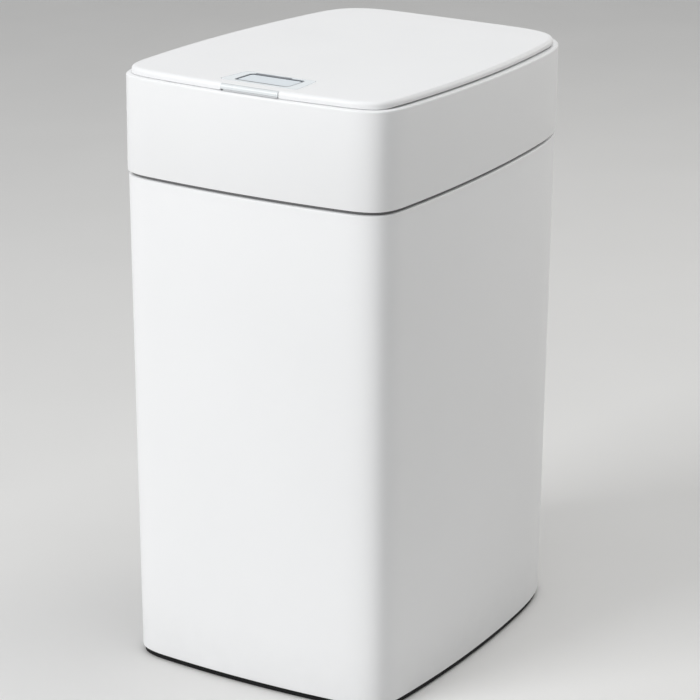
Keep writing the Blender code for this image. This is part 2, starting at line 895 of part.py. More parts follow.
def make_hinge(steel, zinc, grey, lid_frame):
    """Brackets and pins on the head, arms and the sector gear on the lid, about one line along X."""
    foot = deck_top + clear
    for side, sign in (("left", -1), ("right", 1)):
        near = sign * bracket_x
        far = sign * (bracket_x + bracket_width)
        boss = circle(hinge_y, hinge_z, boss_radius, 0, math.pi, 8)
        profile = boss + [(hinge_y - boss_radius, hinge_z), (hinge_y - bracket_reach, foot),
                          (hinge_y + bracket_back, foot)]
        bracket = side_prism(f"hinge_bracket_{side}", dedupe(profile), min(near, far), max(near, far),
                             zinc)
        hole = turned(f"bracket_cutter_{side}", (0, hinge_y, hinge_z),
                      [(bore_radius, min(near, far) - cut_over), (bore_radius, max(near, far) + cut_over)],
                      None, along_x=True)
        combine(bracket, hole, "DIFFERENCE")
        inner = bracket_x - clear - arm_width
        if side == "left":
            inner = inner - clear - gear_width
        pin_ends = sorted((sign * (inner - pin_end_gap), far))
        turned(f"hinge_pin_{side}", (0, hinge_y, hinge_z),
               [(pin_radius, pin_ends[0]), (pin_radius, pin_ends[1])], steel, along_x=True)

        arm_far = bracket_x - clear
        arm_near = arm_far - arm_width
        arm_top = skin_under - clear
        plate = [(-arm_reach, arm_top - arm_thickness), (-arm_reach, arm_top), (0, arm_top)]
        nose = circle(0, 0, knuckle_radius, math.pi / 2, -math.pi / 2, 8)
        under = [(-knuckle_radius, -clear), (-knuckle_radius * 2, arm_top - arm_thickness)]
        low_x, high_x = sorted((sign * arm_near, sign * arm_far))
        arm = side_prism(f"lid_arm_{side}", plate + nose[1:] + circle(
            0, 0, knuckle_radius, -math.pi / 2, -math.pi, 4)[1:] + under[1:], low_x, high_x, grey,
            lid_frame)
        arm_hole = turned(f"arm_cutter_{side}", (0, 0, 0),
                          [(bore_radius, low_x - cut_over), (bore_radius, high_x + cut_over)], None,
                          lid_frame, along_x=True)
        combine(arm, arm_hole, "DIFFERENCE")

    pitch = 2 * math.pi / sector_teeth
    phase = mesh_angle + rim_tilt - pitch / 2
    first = -math.floor(sector_margin / pitch)
    last = math.ceil((math.radians(open_angle_note) + sector_margin) / pitch) + 1
    gear_high = -(bracket_x - clear - arm_width - clear)
    gear = side_prism("sector_gear", gear_outline(sector_teeth, first, last, phase, False),
                      gear_high, gear_high + gear_width, zinc, lid_frame)
    gear_hole = turned("sector_cutter", (0, 0, 0),
                       [(bore_radius, gear_high - cut_over), (bore_radius, gear_high + gear_width + cut_over)],
                       None, lid_frame, along_x=True)
    combine(gear, gear_hole, "DIFFERENCE")


def dedupe(points):
    """Drop a point that repeats the one before it."""
    kept = []
    for point in points:
        if not kept or (Vector(point) - Vector(kept[-1])).length > clear / 10:
            kept.append(point)
    return kept


def make_drive(zinc, steel, black):
    """The gear motor along X, its saddle under the deck, and the pinion on its own axis."""
    pinion_y, pinion_z = pinion_centre()
    gearbox_start = -notch_inner + clear
    gearbox_end = gearbox_start + gearbox_length
    turned("gearbox_case", (0, pinion_y, pinion_z),
           [(motor_radius - slide_fit, gearbox_start), (motor_radius, gearbox_start + slide_fit),
            (motor_radius, gearbox_end)], black, along_x=True)
    can_start = gearbox_end + clear
    turned("drive_motor", (0, pinion_y, pinion_z),
           [(can_radius, can_start), (can_radius, can_start + motor_length),
            (can_radius / 3, can_start + motor_length), (can_radius / 3, can_start + motor_length + cut_over)],
           steel, along_x=True)

    shelf = deck_top - deck_thickness - clear - pinion_z
    under = shelf - saddle_wall
    inner = motor_radius + clear
    outer = inner + saddle_wall
    inner_turn = math.asin(-shelf / inner)
    outer_turn = math.asin(min(-under / outer, 1))
    reach = inner + saddle_flange
    profile = [(pinion_y - reach, pinion_z + shelf)]
    profile += circle(pinion_y, pinion_z, inner, math.pi + inner_turn, 2 * math.pi - inner_turn, 10)
    profile += [(pinion_y + reach, pinion_z + shelf), (pinion_y + reach, pinion_z + under)]
    profile += circle(pinion_y, pinion_z, outer, 2 * math.pi - outer_turn, math.pi + outer_turn, 10)
    profile += [(pinion_y - reach, pinion_z + under)]
    side_prism("motor_bracket", profile, gearbox_start + slide_fit, can_start + motor_length / 2, zinc)

    axle = bpy.data.objects.new("pinion_axis", None)
    axle.location = (0, pinion_y, pinion_z)
    bpy.context.scene.collection.objects.link(axle)
    pinion_mid = -(bracket_x - clear - arm_width - clear) + gear_width / 2
    low_x, high_x = pinion_mid - pinion_width / 2, gearbox_start - clear
    phase = mesh_angle + math.pi
    side_prism("drive_pinion", gear_outline(pinion_teeth, 0, pinion_teeth, phase, True),
               low_x, high_x, zinc, axle)
    return axle


def make_cover(white, steel):
    """The cover over the motor, notched for the hinge, and its two screws."""
    top = hinge_z - cover_top_drop
    low = deck_top + clear
    back = hinge_y - cover_rear_gap
    cover = prism("rear_cover", band(cover_inset, hump_front, back), low, top, white)
    hollow = prism("cover_hollow_cutter",
                   band(cover_inset + cover_wall, hump_front + cover_wall, back - cover_wall),
                   low - cut_over, top - cover_wall, None)
    combine(cover, hollow, "DIFFERENCE")
    for side, sign in (("left", -1), ("right", 1)):
        near, far = sorted((sign * notch_inner, sign * notch_outer))
        notch = block(f"notch_cutter_{side}", (near, hinge_y - notch_reach, low - cut_over),
                      (far, hinge_y + cut_over, top + cut_over), None)
        combine(cover, notch, "DIFFERENCE")
        turned(f"cover_screw_{side}",
               (sign * (notch_outer + cover_screw_inset), hump_front + cover_screw_inset, top + clear),
               [(screw_radius, 0), (screw_radius, screw_height / 2), (screw_radius / 2, screw_height)],
               steel, segments=16)


def make_electronics(grey, green, copper, steel):
    """The plate below the motor bay, the battery box with four cells, and the circuit board."""
    prism("service_plate", band(plate_inset, hump_front, half_depth), plate_low, plate_top, grey)
    for side, x in (("left", -post_x), ("right", post_x)):
        turned(f"plate_screw_{side}", (x, hump_front + post_setback, plate_low - clear - screw_height),
               [(screw_radius / 2, 0), (screw_radius, screw_height / 2), (screw_radius, screw_height)],
               steel, segments=16)

    half_x = battery_length + battery_nub + battery_row_gap / 2 + box_end_gap + box_wall
    rear = rear_face(half_x, shell_wall) - box_rear_gap
    front_y = rear - 2 * battery_pitch - box_wall
    box = block("battery_box", (-half_x, front_y, box_low), (half_x, rear, box_high), grey)
    spigot_inset = barrel_inset + barrel_rim_width + spigot_gap + spigot_wall + clear
    for side, sign in (("left", -1), ("right", 1)):
        rib = block(f"box_rib_{side}",
                    (sign * rib_x - rib_width / 2, front_y, plate_top + clear),
                    (sign * rib_x + rib_width / 2, rear_face(half_x, spigot_inset),
                     box_low + box_wall / 2), None)
        combine(box, rib, "UNION")
    hollow = block("battery_cutter", (box_wall - half_x, front_y + box_wall, box_low + box_wall),
                   (half_x - box_wall, rear + cut_over, box_high - box_wall), None)
    combine(box, hollow, "DIFFERENCE")
    battery_z = (box_low + box_high) / 2
    number = 0
    for row in range(2):
        battery_y = front_y + box_wall + battery_pitch * (row + 0.5)
        for sign in (-1, 1):
            number += 1
            start = sign * battery_row_gap / 2
            turned(f"battery_{number}", (0, battery_y, battery_z), [
                (battery_radius, start),
                (battery_radius, start + sign * battery_length),
                (battery_nub_radius, start + sign * battery_length),
                (battery_nub_radius, start + sign * (battery_length + battery_nub))],
                copper, segments=20, along_x=True)

    board_low = box_low + board_rise
    board_high = board_low + board_height
    board_back = front_y - clear
    board_front = board_back - board_thickness
    board = block("circuit_board", (-board_length / 2, board_front, board_low),
                  (board_length / 2, board_back, board_high), green)
    chips = block("board_chips",
                  (chip_inset - board_length / 2, board_front - chip_height, board_low + chip_inset),
                  (board_length / 2 - chip_inset, board_back - board_thickness / 2,
                   board_high - chip_inset), None)
    combine(board, chips, "UNION")


def make_door_and_switch(white, black, slot_z):
    """The battery door, cut to the curve of the rear face, and the power switch beside it."""
    low, high = door_levels()
    steps = 12
    outer = []
    for step in range(steps + 1):
        x = door_half_width * (1 - 2 * step / steps)
        outer.append(Vector((x, rear_face(x))))
    inner = [Vector((p.x, p.y - shell_wall)) for p in reversed(outer)]
    prism("battery_door", outer + inner, low, high, white)

    far = switch_x + switch_travel + tongue_half_x
    wall_y = rear_face(far) - shell_wall - clear
    tongue_back = wall_y - tongue_thickness
    knob = block("switch_knob", (switch_x - knob_half_x, tongue_back, slot_z - knob_half_z),
                 (switch_x + knob_half_x, rear_face(switch_x) + knob_proud, slot_z + knob_half_z), black)
    tongue = block("switch_tongue", (switch_x - tongue_half_x, tongue_back, slot_z - tongue_half_z),
                   (switch_x + tongue_half_x, wall_y, slot_z + tongue_half_z), None)
    combine(knob, tongue, "UNION")
    block("switch_case",
          (switch_x - tongue_half_x, tongue_back - clear - switch_case_depth, slot_z - tongue_half_z),
          (far, tongue_back - clear, slot_z + tongue_half_z), black)


def inlay_points(grow):
    """The sensor inlay seen from above, in the lid's own frame: wider at the front."""
    front = inlay_front_margin - lid_front - hinge_y
    back = front + inlay_depth
    front_half, back_half = inlay_front_half + grow, inlay_back_half + grow
    corners = [(sensor_x - front_half, front - grow), (sensor_x + front_half, front - grow),
               (sensor_x + back_half, back + grow), (sensor_x - back_half, back + grow)]
    return rounded(corners, inlay_radius)


def button_y():
    """The middle of the button in the lid's own frame."""
    front = inlay_front_margin - lid_front - hinge_y
    return front + button_front_margin + button_half_y


def make_lid(white, grey, inlay_blue, window_grey, green, rubber, lid_frame):
    """The lid: a thin rounded slab with a liner below, the sensor inlay and four bumpers."""
    def ring(height, inset):
        return level(shift(lid_plan(inset), -hinge_y), height)

    def corner(share):
        turn = share * math.pi / 2
        return ring(lid_top - lid_radius * (1 - math.sin(turn)), lid_radius * (1 - math.cos(turn)))

    panel = loft("lid_panel", [
        ring(skin_under, lid_skin), ring(lid_gap, lid_skin), ring(lid_gap, 0),
        corner(0.0), corner(0.25), corner(0.5), corner(0.75), corner(1.0),
    ], white, lid_frame)
    recess = prism("inlay_cutter", inlay_points(clear), lid_top - inlay_recess, lid_top + cut_over, None,
                   lid_frame)
    combine(panel, recess, "DIFFERENCE")
    through = prism("button_cutter", rectangle(sensor_x, button_y(), button_half_x, button_half_y,
                                               button_radius), skin_under - cut_over,
                    lid_top - inlay_recess + clear, None, lid_frame)
    combine(panel, through, "DIFFERENCE")
    tab_back = tab_seat - lid_front - hinge_y
    notch = block("tab_cutter",
                  (sensor_x - tab_half_width - clear, tab_back - tab_seat - cut_over, -cut_over),
                  (sensor_x + tab_half_width + clear, tab_back, tab_rise + tab_height + clear),
                  None, lid_frame)
    combine(panel, notch, "DIFFERENCE")

    bezel = prism("sensor_bezel", inlay_points(0.0), lid_top - inlay_recess + clear, lid_top, inlay_blue,
                  lid_frame)
    window = prism("bezel_cutter", rectangle(sensor_x, button_y(), button_half_x, button_half_y,
                                             button_radius),
                   lid_top - inlay_recess - cut_over, lid_top + cut_over, None, lid_frame)
    combine(bezel, window, "DIFFERENCE")
    block("sensor_window", (sensor_x - tab_half_width, tab_back - tab_seat - tab_proud, tab_rise),
          (sensor_x + tab_half_width, tab_back - clear, tab_rise + tab_height), window_grey, lid_frame,
          bevel=tab_bevel)

    liner_front = liner_front_margin - half_depth - hinge_y
    liner_back = hump_front - liner_back_gap - hinge_y
    centre_y = (liner_front + liner_back) / 2
    half_y = (liner_back - liner_front) / 2

    def tray(height, inset):
        return level(rectangle(0, centre_y, liner_half_width - inset, half_y - inset,
                               liner_radius - inset), height)

    liner_top = skin_under - clear
    loft("lid_liner", [tray(-liner_drop, liner_wall), tray(liner_wall - liner_drop, 0),
                       tray(liner_top, 0), tray(liner_top, liner_wall),
                       tray(liner_floor - liner_drop, liner_wall)], white, lid_frame)
    board_low = liner_floor - liner_drop + clear
    block("sensor_board",
          (sensor_x - sensor_board_half, button_y() - sensor_board_depth / 2, board_low),
          (sensor_x + sensor_board_half, button_y() + sensor_board_depth / 2,
           board_low + sensor_board_thickness),
          green, lid_frame)

    spots = []
    for sign in (-1, 1):
        spots.append((sign * bumper_front_x, -front_reach(bumper_front_x, bumper_inset)))
        spots.append((sign * side_reach(bumper_side_y, bumper_inset), bumper_side_y))
    for index, (x, y) in enumerate(spots):
        turned(f"lid_bumper_{index + 1}", (x, y - hinge_y, 0),
               [(bumper_radius - clear, clear), (bumper_radius, 2 * clear),
                (bumper_radius, skin_under - clear)], rubber, lid_frame, segments=16)
    return board_low + sensor_board_thickness


def make_button(pale, steel, lid_frame, board_top):
    """The press-to-open key in the inlay, and the coil spring under it."""
    fit_x, fit_y = button_half_x - button_fit, button_half_y - button_fit
    top = lid_top - button_sink
    under = top - button_thickness
    key = prism("open_button", rectangle(sensor_x, button_y(), fit_x, fit_y, button_radius - button_fit),
                under, top, pale, lid_frame)
    peg = turned("button_peg", (sensor_x, button_y(), 0),
                 [(button_peg_radius, under - button_peg_length),
                  (button_peg_radius, under + button_thickness / 2)], None, lid_frame, segments=12)
    combine(key, peg, "UNION")

    low = board_top + clear + spring_wire
    high = under - clear - spring_wire
    count = spring_turns * spring_points
    wire = bpy.data.curves.new("button_spring", "CURVE")
    wire.dimensions = "3D"
    path = wire.splines.new("POLY")
    path.points.add(count)
    for index in range(count + 1):
        angle = 2 * math.pi * index / spring_points
        path.points[index].co = (sensor_x + spring_radius * math.cos(angle),
                                 button_y() + spring_radius * math.sin(angle),
                                 low + (high - low) * index / count, 1)
    wire.bevel_depth = spring_wire
    wire.bevel_resolution = 1
    wire.use_fill_caps = True
    wire.materials.append(steel)
    spring = bpy.data.objects.new("button_spring", wire)
    spring.parent = lid_frame
    bpy.context.scene.collection.objects.link(spring)


def main():
    """Build every piece of the bin."""
    for piece in list(bpy.data.objects):
        bpy.data.objects.remove(piece, do_unlink=True)

    white = material("white_plastic", (0.90, 0.905, 0.915), 0.38)
    inner_white = material("inner_white_plastic", (0.86, 0.865, 0.87), 0.45)
    light_grey = material("light_grey_plastic", (0.62, 0.63, 0.64), 0.45)
    mid_grey = material("mid_grey_plastic", (0.33, 0.34, 0.35), 0.5)
    dark_gasket = material("dark_gasket", (0.07, 0.07, 0.075), 0.8)
    black = material("black_plastic", (0.02, 0.02, 0.021), 0.5)
    rubber = material("dark_rubber", (0.05, 0.05, 0.05), 0.85)
    frosted = material("frosted_plastic", (0.72, 0.76, 0.78), 0.3)
    soft_grey = material("soft_grey_rubber", (0.45, 0.47, 0.49), 0.7)
    steel = material("steel", (0.62, 0.62, 0.63), 0.3, 1.0)
    zinc = material("zinc", (0.55, 0.56, 0.58), 0.4, 1.0)
    copper = material("cell_sleeve", (0.62, 0.42, 0.12), 0.35, 0.3)
    green = material("board_green", (0.03, 0.18, 0.08), 0.5)
    inlay_blue = material("inlay_pale_blue", (0.70, 0.80, 0.84), 0.15)
    key_blue = material("key_pale_blue", (0.62, 0.70, 0.75), 0.2)
    window_grey = material("window_grey", (0.58, 0.62, 0.64), 0.2)

    lid_frame = bpy.data.objects.new("lid_frame", None)
    lid_frame.location = (0, hinge_y, hinge_z)
    lid_frame.rotation_euler = (-rim_tilt, 0, 0)
    bpy.context.scene.collection.objects.link(lid_frame)

    make_barrel(white)
    make_plinth(black, rubber)
    make_gasket(dark_gasket)
    make_bucket(light_grey, mid_grey)
    brush_low = make_brush_cell(light_grey, frosted)
    make_brush(brush_low, soft_grey, steel, inner_white, mid_grey)
    slot_z = make_head_shell(white)
    make_spigot(mid_grey)
    make_deck(inner_white)
    make_hinge(steel, zinc, mid_grey, lid_frame)
    make_drive(zinc, steel, black)
    make_cover(inner_white, steel)
    make_electronics(mid_grey, green, copper, steel)
    make_door_and_switch(white, black, slot_z)
    board_top = make_lid(white, mid_grey, inlay_blue, window_grey, green, rubber, lid_frame)
    make_button(key_blue, steel, lid_frame, board_top)


main()
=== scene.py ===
"""Looks for the bathroom bin: fine surfaces, materials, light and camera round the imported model."""
import json
import math

import bmesh
import bpy
from mathutils import Matrix, Vector


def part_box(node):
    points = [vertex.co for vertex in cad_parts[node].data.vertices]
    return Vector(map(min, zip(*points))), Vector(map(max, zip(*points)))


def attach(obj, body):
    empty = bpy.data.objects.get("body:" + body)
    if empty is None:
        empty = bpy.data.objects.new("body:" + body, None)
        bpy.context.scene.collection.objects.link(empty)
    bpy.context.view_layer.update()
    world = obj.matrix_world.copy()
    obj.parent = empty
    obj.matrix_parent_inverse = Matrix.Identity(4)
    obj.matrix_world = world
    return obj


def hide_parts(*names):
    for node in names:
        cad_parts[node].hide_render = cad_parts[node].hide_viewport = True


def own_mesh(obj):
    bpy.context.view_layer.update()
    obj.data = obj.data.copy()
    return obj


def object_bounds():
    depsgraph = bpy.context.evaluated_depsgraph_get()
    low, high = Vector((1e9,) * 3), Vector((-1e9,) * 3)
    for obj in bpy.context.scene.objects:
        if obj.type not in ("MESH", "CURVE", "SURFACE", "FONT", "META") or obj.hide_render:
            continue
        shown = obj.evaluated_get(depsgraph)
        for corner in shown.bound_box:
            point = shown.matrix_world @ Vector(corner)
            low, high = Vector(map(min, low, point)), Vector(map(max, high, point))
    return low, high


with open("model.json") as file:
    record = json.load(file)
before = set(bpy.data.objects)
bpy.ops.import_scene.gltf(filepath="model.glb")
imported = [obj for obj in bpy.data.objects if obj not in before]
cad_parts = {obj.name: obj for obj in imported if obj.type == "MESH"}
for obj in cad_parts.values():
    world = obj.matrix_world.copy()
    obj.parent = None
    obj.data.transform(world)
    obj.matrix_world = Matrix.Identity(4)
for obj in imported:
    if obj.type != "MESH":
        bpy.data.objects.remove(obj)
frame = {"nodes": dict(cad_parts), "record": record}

cad_low, cad_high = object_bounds()

# Sizes shared with the solids, in metres: the play between pieces, and how far a cutting shape reaches past
CLEAR, OVER = 0.0003, 0.0020

# The outline of the head and the barrel
HEAD_WIDTH, HEAD_DEPTH = cad_high.x - cad_low.x, cad_high.y - cad_low.y
TAPER = 0.0063
SIDE_BULGE, FRONT_BULGE = 0.0103, 0.0065
FRONT_RADIUS, REAR_RADIUS, LEAST_RADIUS = 0.0295, 0.0800, 0.0020
FRONT_SHARE, REAR_SHARE = 1.925, 2.209
HALF_DEPTH = HEAD_DEPTH / 2
CORNER_X = HEAD_WIDTH / 2 - SIDE_BULGE - TAPER * TAPER / (4 * SIDE_BULGE)
CORNER_Y = HALF_DEPTH - FRONT_BULGE

# Heights, walls and drafts of the barrel and the head
RIM_TILT = math.radians(1.186)
BARREL_LOW, BARREL_TOP = 0.0042, 0.3718
HEAD_LOW, RIM_LEVEL = 0.3744, 0.4421
BARREL_INSET, BARREL_WALL, BARREL_RIM = 0.0008, 0.0025, 0.0060
SIDE_DRAFT, FRONT_DRAFT = 0.0016, 0.0061
SHELL_WALL, RIM_RADIUS, RIM_FLANGE, REAR_FLANGE = 0.0026, 0.0014, 0.0125, 0.0030
HEAD_LIP, BUCKET_RADIUS = 0.0025, 0.0220

# The lid, and the hinge, the deck, the motor's hump and the brush, each placed from the lid's back
LID_SIDE_INSET, LID_FRONT_INSET, LID_REAR_INSET = 0.0033, 0.0036, 0.0118
LID_REAR_BULGE, LID_REAR_RADIUS, LID_SHARE = 0.0019, 0.0430, 1.700
LID_GAP, LID_EDGE, LID_RADIUS, LID_SKIN = 0.0008, 0.0048, 0.0028, 0.0022
LID_TOP = LID_GAP + LID_EDGE
SKIN_UNDER = LID_TOP - LID_SKIN
LID_BACK = CORNER_Y - LID_REAR_INSET
HINGE_MARGIN, DECK_DROP, DECK_THICK, HUMP_DEPTH = 0.0100, 0.0146, 0.0024, 0.0280
HINGE_Y = LID_BACK + LID_REAR_BULGE - HINGE_MARGIN
HINGE_Z = RIM_LEVEL - math.tan(RIM_TILT) * HINGE_Y
DECK_TOP = HINGE_Z - DECK_DROP
DECK_LOW = DECK_TOP - DECK_THICK
HUMP_FRONT = HINGE_Y - HUMP_DEPTH
BRUSH_MARGIN, BRUSH_MOUTH_X, BRUSH_MOUTH_Y = 0.0060, 0.0400, 0.0280
BRUSH_Y = HUMP_FRONT - BRUSH_MARGIN - BRUSH_MOUTH_Y
LID = Matrix.Translation((0, HINGE_Y, HINGE_Z)) @ Matrix.Rotation(-RIM_TILT, 4, "X")

# The inlay and the key, in the lid's own frame, and the power switch
LID_FRONT = LID_FRONT_INSET - HALF_DEPTH - HINGE_Y
SENSOR_X = 0.0040
INLAY_FRONT = LID_FRONT + 0.0106
INLAY_WIDE, INLAY_NARROW, INLAY_DEPTH, INLAY_RADIUS = 0.0320, 0.0289, 0.0318, 0.0040
BUTTON_MARGIN, BUTTON_X_HALF, BUTTON_Y_HALF, BUTTON_RADIUS = 0.0055, 0.0214, 0.0102, 0.0030
BUTTON_Y = INLAY_FRONT + BUTTON_MARGIN + BUTTON_Y_HALF
SWITCH_LEFT, SWITCH_RIGHT, SWITCH_SLOT_RIGHT, SWITCH_HALF = 0.0265, 0.0335, 0.0375, 0.0022

# How finely curves are drawn
SIDE_STEPS, CORNER_STEPS, FILLET_STEPS = 20, 20, 6

# Dust and painted shade near the floor, and how much finer the gloss varies than the colour
DUST_AND_SHADE_HEIGHT, DUST_AND_SHADE_DARKNESS, DUST_AND_SHADE_SCALE, GLOSS_SCALE = 0.045, 0.62, 60, 3.1


def place_camera():
    """The photograph's viewpoint: its bearing, height, distance and long lens."""
    azimuth, elevation, roll = 0.54702, 0.31839, 0.00583
    distance, side, height = 2.33806, -0.00636, 0.21703
    back = Vector((math.sin(azimuth) * math.cos(elevation),
                   -math.cos(azimuth) * math.cos(elevation), math.sin(elevation)))
    right = Vector((math.cos(azimuth), math.sin(azimuth), 0))
    up = back.cross(right)
    across = right * math.cos(roll) + up * math.sin(roll)
    above = up * math.cos(roll) - right * math.sin(roll)
    data = bpy.data.cameras.new("camera")
    data.sensor_width = 36
    data.lens = 160.243
    camera = bpy.data.objects.new("camera", data)
    turn = Matrix((across, above, back)).transposed()
    camera.matrix_world = Matrix.Translation(
        Vector((0, 0, height)) + right * side + back * distance) @ turn.to_4x4()
    bpy.context.scene.collection.objects.link(camera)
    bpy.context.scene.camera = camera


def lamp(name, azimuth, elevation, distance, size, power, colour):
    """A square soft light that looks at the middle of the bin."""
    middle = Vector((0, 0, 0.25))
    a, e = math.radians(azimuth), math.radians(elevation)
    back = Vector((math.sin(a) * math.cos(e), -math.cos(a) * math.cos(e), math.sin(e)))
    data = bpy.data.lights.new(name, "AREA")
    data.size = size
    data.energy = power
    data.color = colour
    light = bpy.data.objects.new(name, data)
    light.location = middle + back * distance
    light.rotation_mode = "QUATERNION"
    light.rotation_quaternion = back.to_track_quat("Z", "Y")
    bpy.context.scene.collection.objects.link(light)


def light_the_scene():
    """A plain studio: a white background, a soft sky, a large key, a fill, a ceiling and a pale floor."""
    world = bpy.data.worlds.new("studio")
    bpy.context.scene.world = world
    world.use_nodes = True
    tree = world.node_tree
    tree.nodes.clear()
    link = tree.links.new

    def background(colour, strength):
        node = tree.nodes.new("ShaderNodeBackground")
        node.inputs["Color"].default_value = colour
        node.inputs["Strength"].default_value = strength
        return node.outputs[0]

    def either(first, second):
        node = tree.nodes.new("ShaderNodeMath")
        node.operation = "MAXIMUM"
        link(first, node.inputs[0])
        link(second, node.inputs[1])
        return node.outputs[0]

    # The background is white where it is seen, mirrored or looked through, and dim as a light
    path = tree.nodes.new("ShaderNodeLightPath").outputs
    seen = either(either(path["Is Camera Ray"], path["Is Glossy Ray"]), path["Is Transmission Ray"])
    mix = tree.nodes.new("ShaderNodeMixShader")
    link(seen, mix.inputs["Fac"])
    link(background((0.985, 0.995, 1, 1), 0.27), mix.inputs[1])
    link(background((1, 1, 1, 1), 1.0), mix.inputs[2])
    link(mix.outputs[0], tree.nodes.new("ShaderNodeOutputWorld").inputs["Surface"])

    cool, warm = (0.985, 0.992, 1), (1, 0.97, 0.91)
    lamp("key", azimuth=-24, elevation=25, distance=4.0, size=1.9, power=95, colour=cool)
    lamp("fill", azimuth=150, elevation=22, distance=2.2, size=1.0, power=8, colour=warm)
    lamp("ceiling", azimuth=80, elevation=80, distance=2.6, size=1.6, power=25, colour=cool)

    floor = bpy.data.meshes.new("floor")
    reach = 6
    floor.from_pydata([(-reach, -reach, 0), (reach, -reach, 0), (reach, reach, 0), (-reach, reach, 0)],
                      [], [(0, 1, 2, 3)])
    ground = bpy.data.objects.new("floor", floor)
    bpy.context.scene.collection.objects.link(ground)
    floor.materials.append(surface("floor_paint", (0.80, 0.795, 0.785), 0.75, mottle=0.01, mottle_scale=3,
                                   grain=0.0001, grain_scale=220))


def surface(name, colour, roughness, mottle, metallic=0.0, mottle_scale=14, rough_spread=0.05,
            grain=0.00002, grain_scale=1400, wave=0.0, wave_scale=18, coat=0.0, dust_and_shade=0.0,
            see_through=0.0, brushed=None, specular=0.5, soft=0.0):
    """A moulded, rubber or metal surface with fine colour drift, uneven gloss and grain.

    mottle is the colour drift, rough_spread the spread of roughness, grain and wave the depth in
    metres of the fine grain and of the slow waviness. dust_and_shade darkens the surface towards the
    floor, as dust and as painted shade near the floor, and brushed is the stretch of a metal's grain
    along x, y and z.
    """
    material = bpy.data.materials.new(name)
    material.use_nodes = True
    tree = material.node_tree
    socket = tree.nodes["Principled BSDF"].inputs
    link = tree.links.new
    socket["Metallic"].default_value = metallic
    socket["Specular IOR Level"].default_value = specular
    if coat:
        socket["Coat Weight"].default_value = coat
        socket["Coat Roughness"].default_value = 0.1
    if see_through:
        socket["Transmission Weight"].default_value = see_through
        socket["IOR"].default_value = 1.49
    if soft:
        socket["Sheen Weight"].default_value = soft
        socket["Sheen Roughness"].default_value = 0.4
    place = tree.nodes.new("ShaderNodeTexCoord").outputs["Object"]

    def noise(scale, detail, stretch=None):
        node = tree.nodes.new("ShaderNodeTexNoise")
        node.inputs["Scale"].default_value = scale
        node.inputs["Detail"].default_value = detail
        if stretch:
            mapping = tree.nodes.new("ShaderNodeMapping")
            mapping.inputs["Scale"].default_value = stretch
            link(place, mapping.inputs["Vector"])
            link(mapping.outputs["Vector"], node.inputs["Vector"])
        else:
            link(place, node.inputs["Vector"])
        return node.outputs["Fac"]

    drift = tree.nodes.new("ShaderNodeValToRGB")
    drift.color_ramp.elements[0].position = 0.35
    drift.color_ramp.elements[1].position = 0.65
    drift.color_ramp.elements[0].color = (*[c * (1 - mottle) for c in colour], 1)
    drift.color_ramp.elements[1].color = (*[min(c * (1 + mottle), 1) for c in colour], 1)
    link(noise(mottle_scale, 3), drift.inputs["Fac"])
    tint = drift.outputs["Color"]
    # Darker towards the floor, broken by noise: dust, and painted shade near the floor
    if dust_and_shade:
        split = tree.nodes.new("ShaderNodeSeparateXYZ")
        link(place, split.inputs[0])
        floor_darkening = tree.nodes.new("ShaderNodeMapRange")
        floor_darkening.inputs["From Min"].default_value = DUST_AND_SHADE_HEIGHT
        floor_darkening.inputs["From Max"].default_value = 0.0
        floor_darkening.inputs["To Max"].default_value = dust_and_shade
        link(split.outputs["Z"], floor_darkening.inputs["Value"])
        broken = tree.nodes.new("ShaderNodeMath")
        broken.operation = "MULTIPLY"
        link(floor_darkening.outputs["Result"], broken.inputs[0])
        link(noise(DUST_AND_SHADE_SCALE, 4), broken.inputs[1])
        shade = tree.nodes.new("ShaderNodeMix")
        shade.data_type = "RGBA"
        link(broken.outputs[0], shade.inputs["Factor"])
        link(tint, shade.inputs["A"])
        shade.inputs["B"].default_value = (*[c * DUST_AND_SHADE_DARKNESS for c in colour], 1)
        tint = shade.outputs["Result"]
    link(tint, socket["Base Color"])

    gloss = tree.nodes.new("ShaderNodeMapRange")
    gloss.inputs["From Min"].default_value = 0.3
    gloss.inputs["From Max"].default_value = 0.7
    gloss.inputs["To Min"].default_value = max(roughness - rough_spread, 0.02)
    gloss.inputs["To Max"].default_value = roughness + rough_spread
    link(noise(mottle_scale * GLOSS_SCALE, 4, brushed), gloss.inputs["Value"])
    link(gloss.outputs["Result"], socket["Roughness"])

    fine = tree.nodes.new("ShaderNodeBump")
    fine.inputs["Distance"].default_value = grain
    link(noise(grain_scale, 2, brushed), fine.inputs["Height"])
    if wave:
        slow = tree.nodes.new("ShaderNodeBump")
        slow.inputs["Distance"].default_value = wave
        link(noise(wave_scale, 1), slow.inputs["Height"])
        link(slow.outputs["Normal"], fine.inputs["Normal"])
    link(fine.outputs["Normal"], socket["Normal"])
    material.diffuse_color = (*colour, 1)
    return material


def bowed_side(start, end, outwards, bulge, share):
    """A point on a bowed side, and the direction of travel there."""
    run = end - start
    place = start + run * share + outwards * (bulge * (1 - (2 * share - 1) ** 2))
    return place, (run - outwards * (bulge * 4 * (2 * share - 1))).normalized()


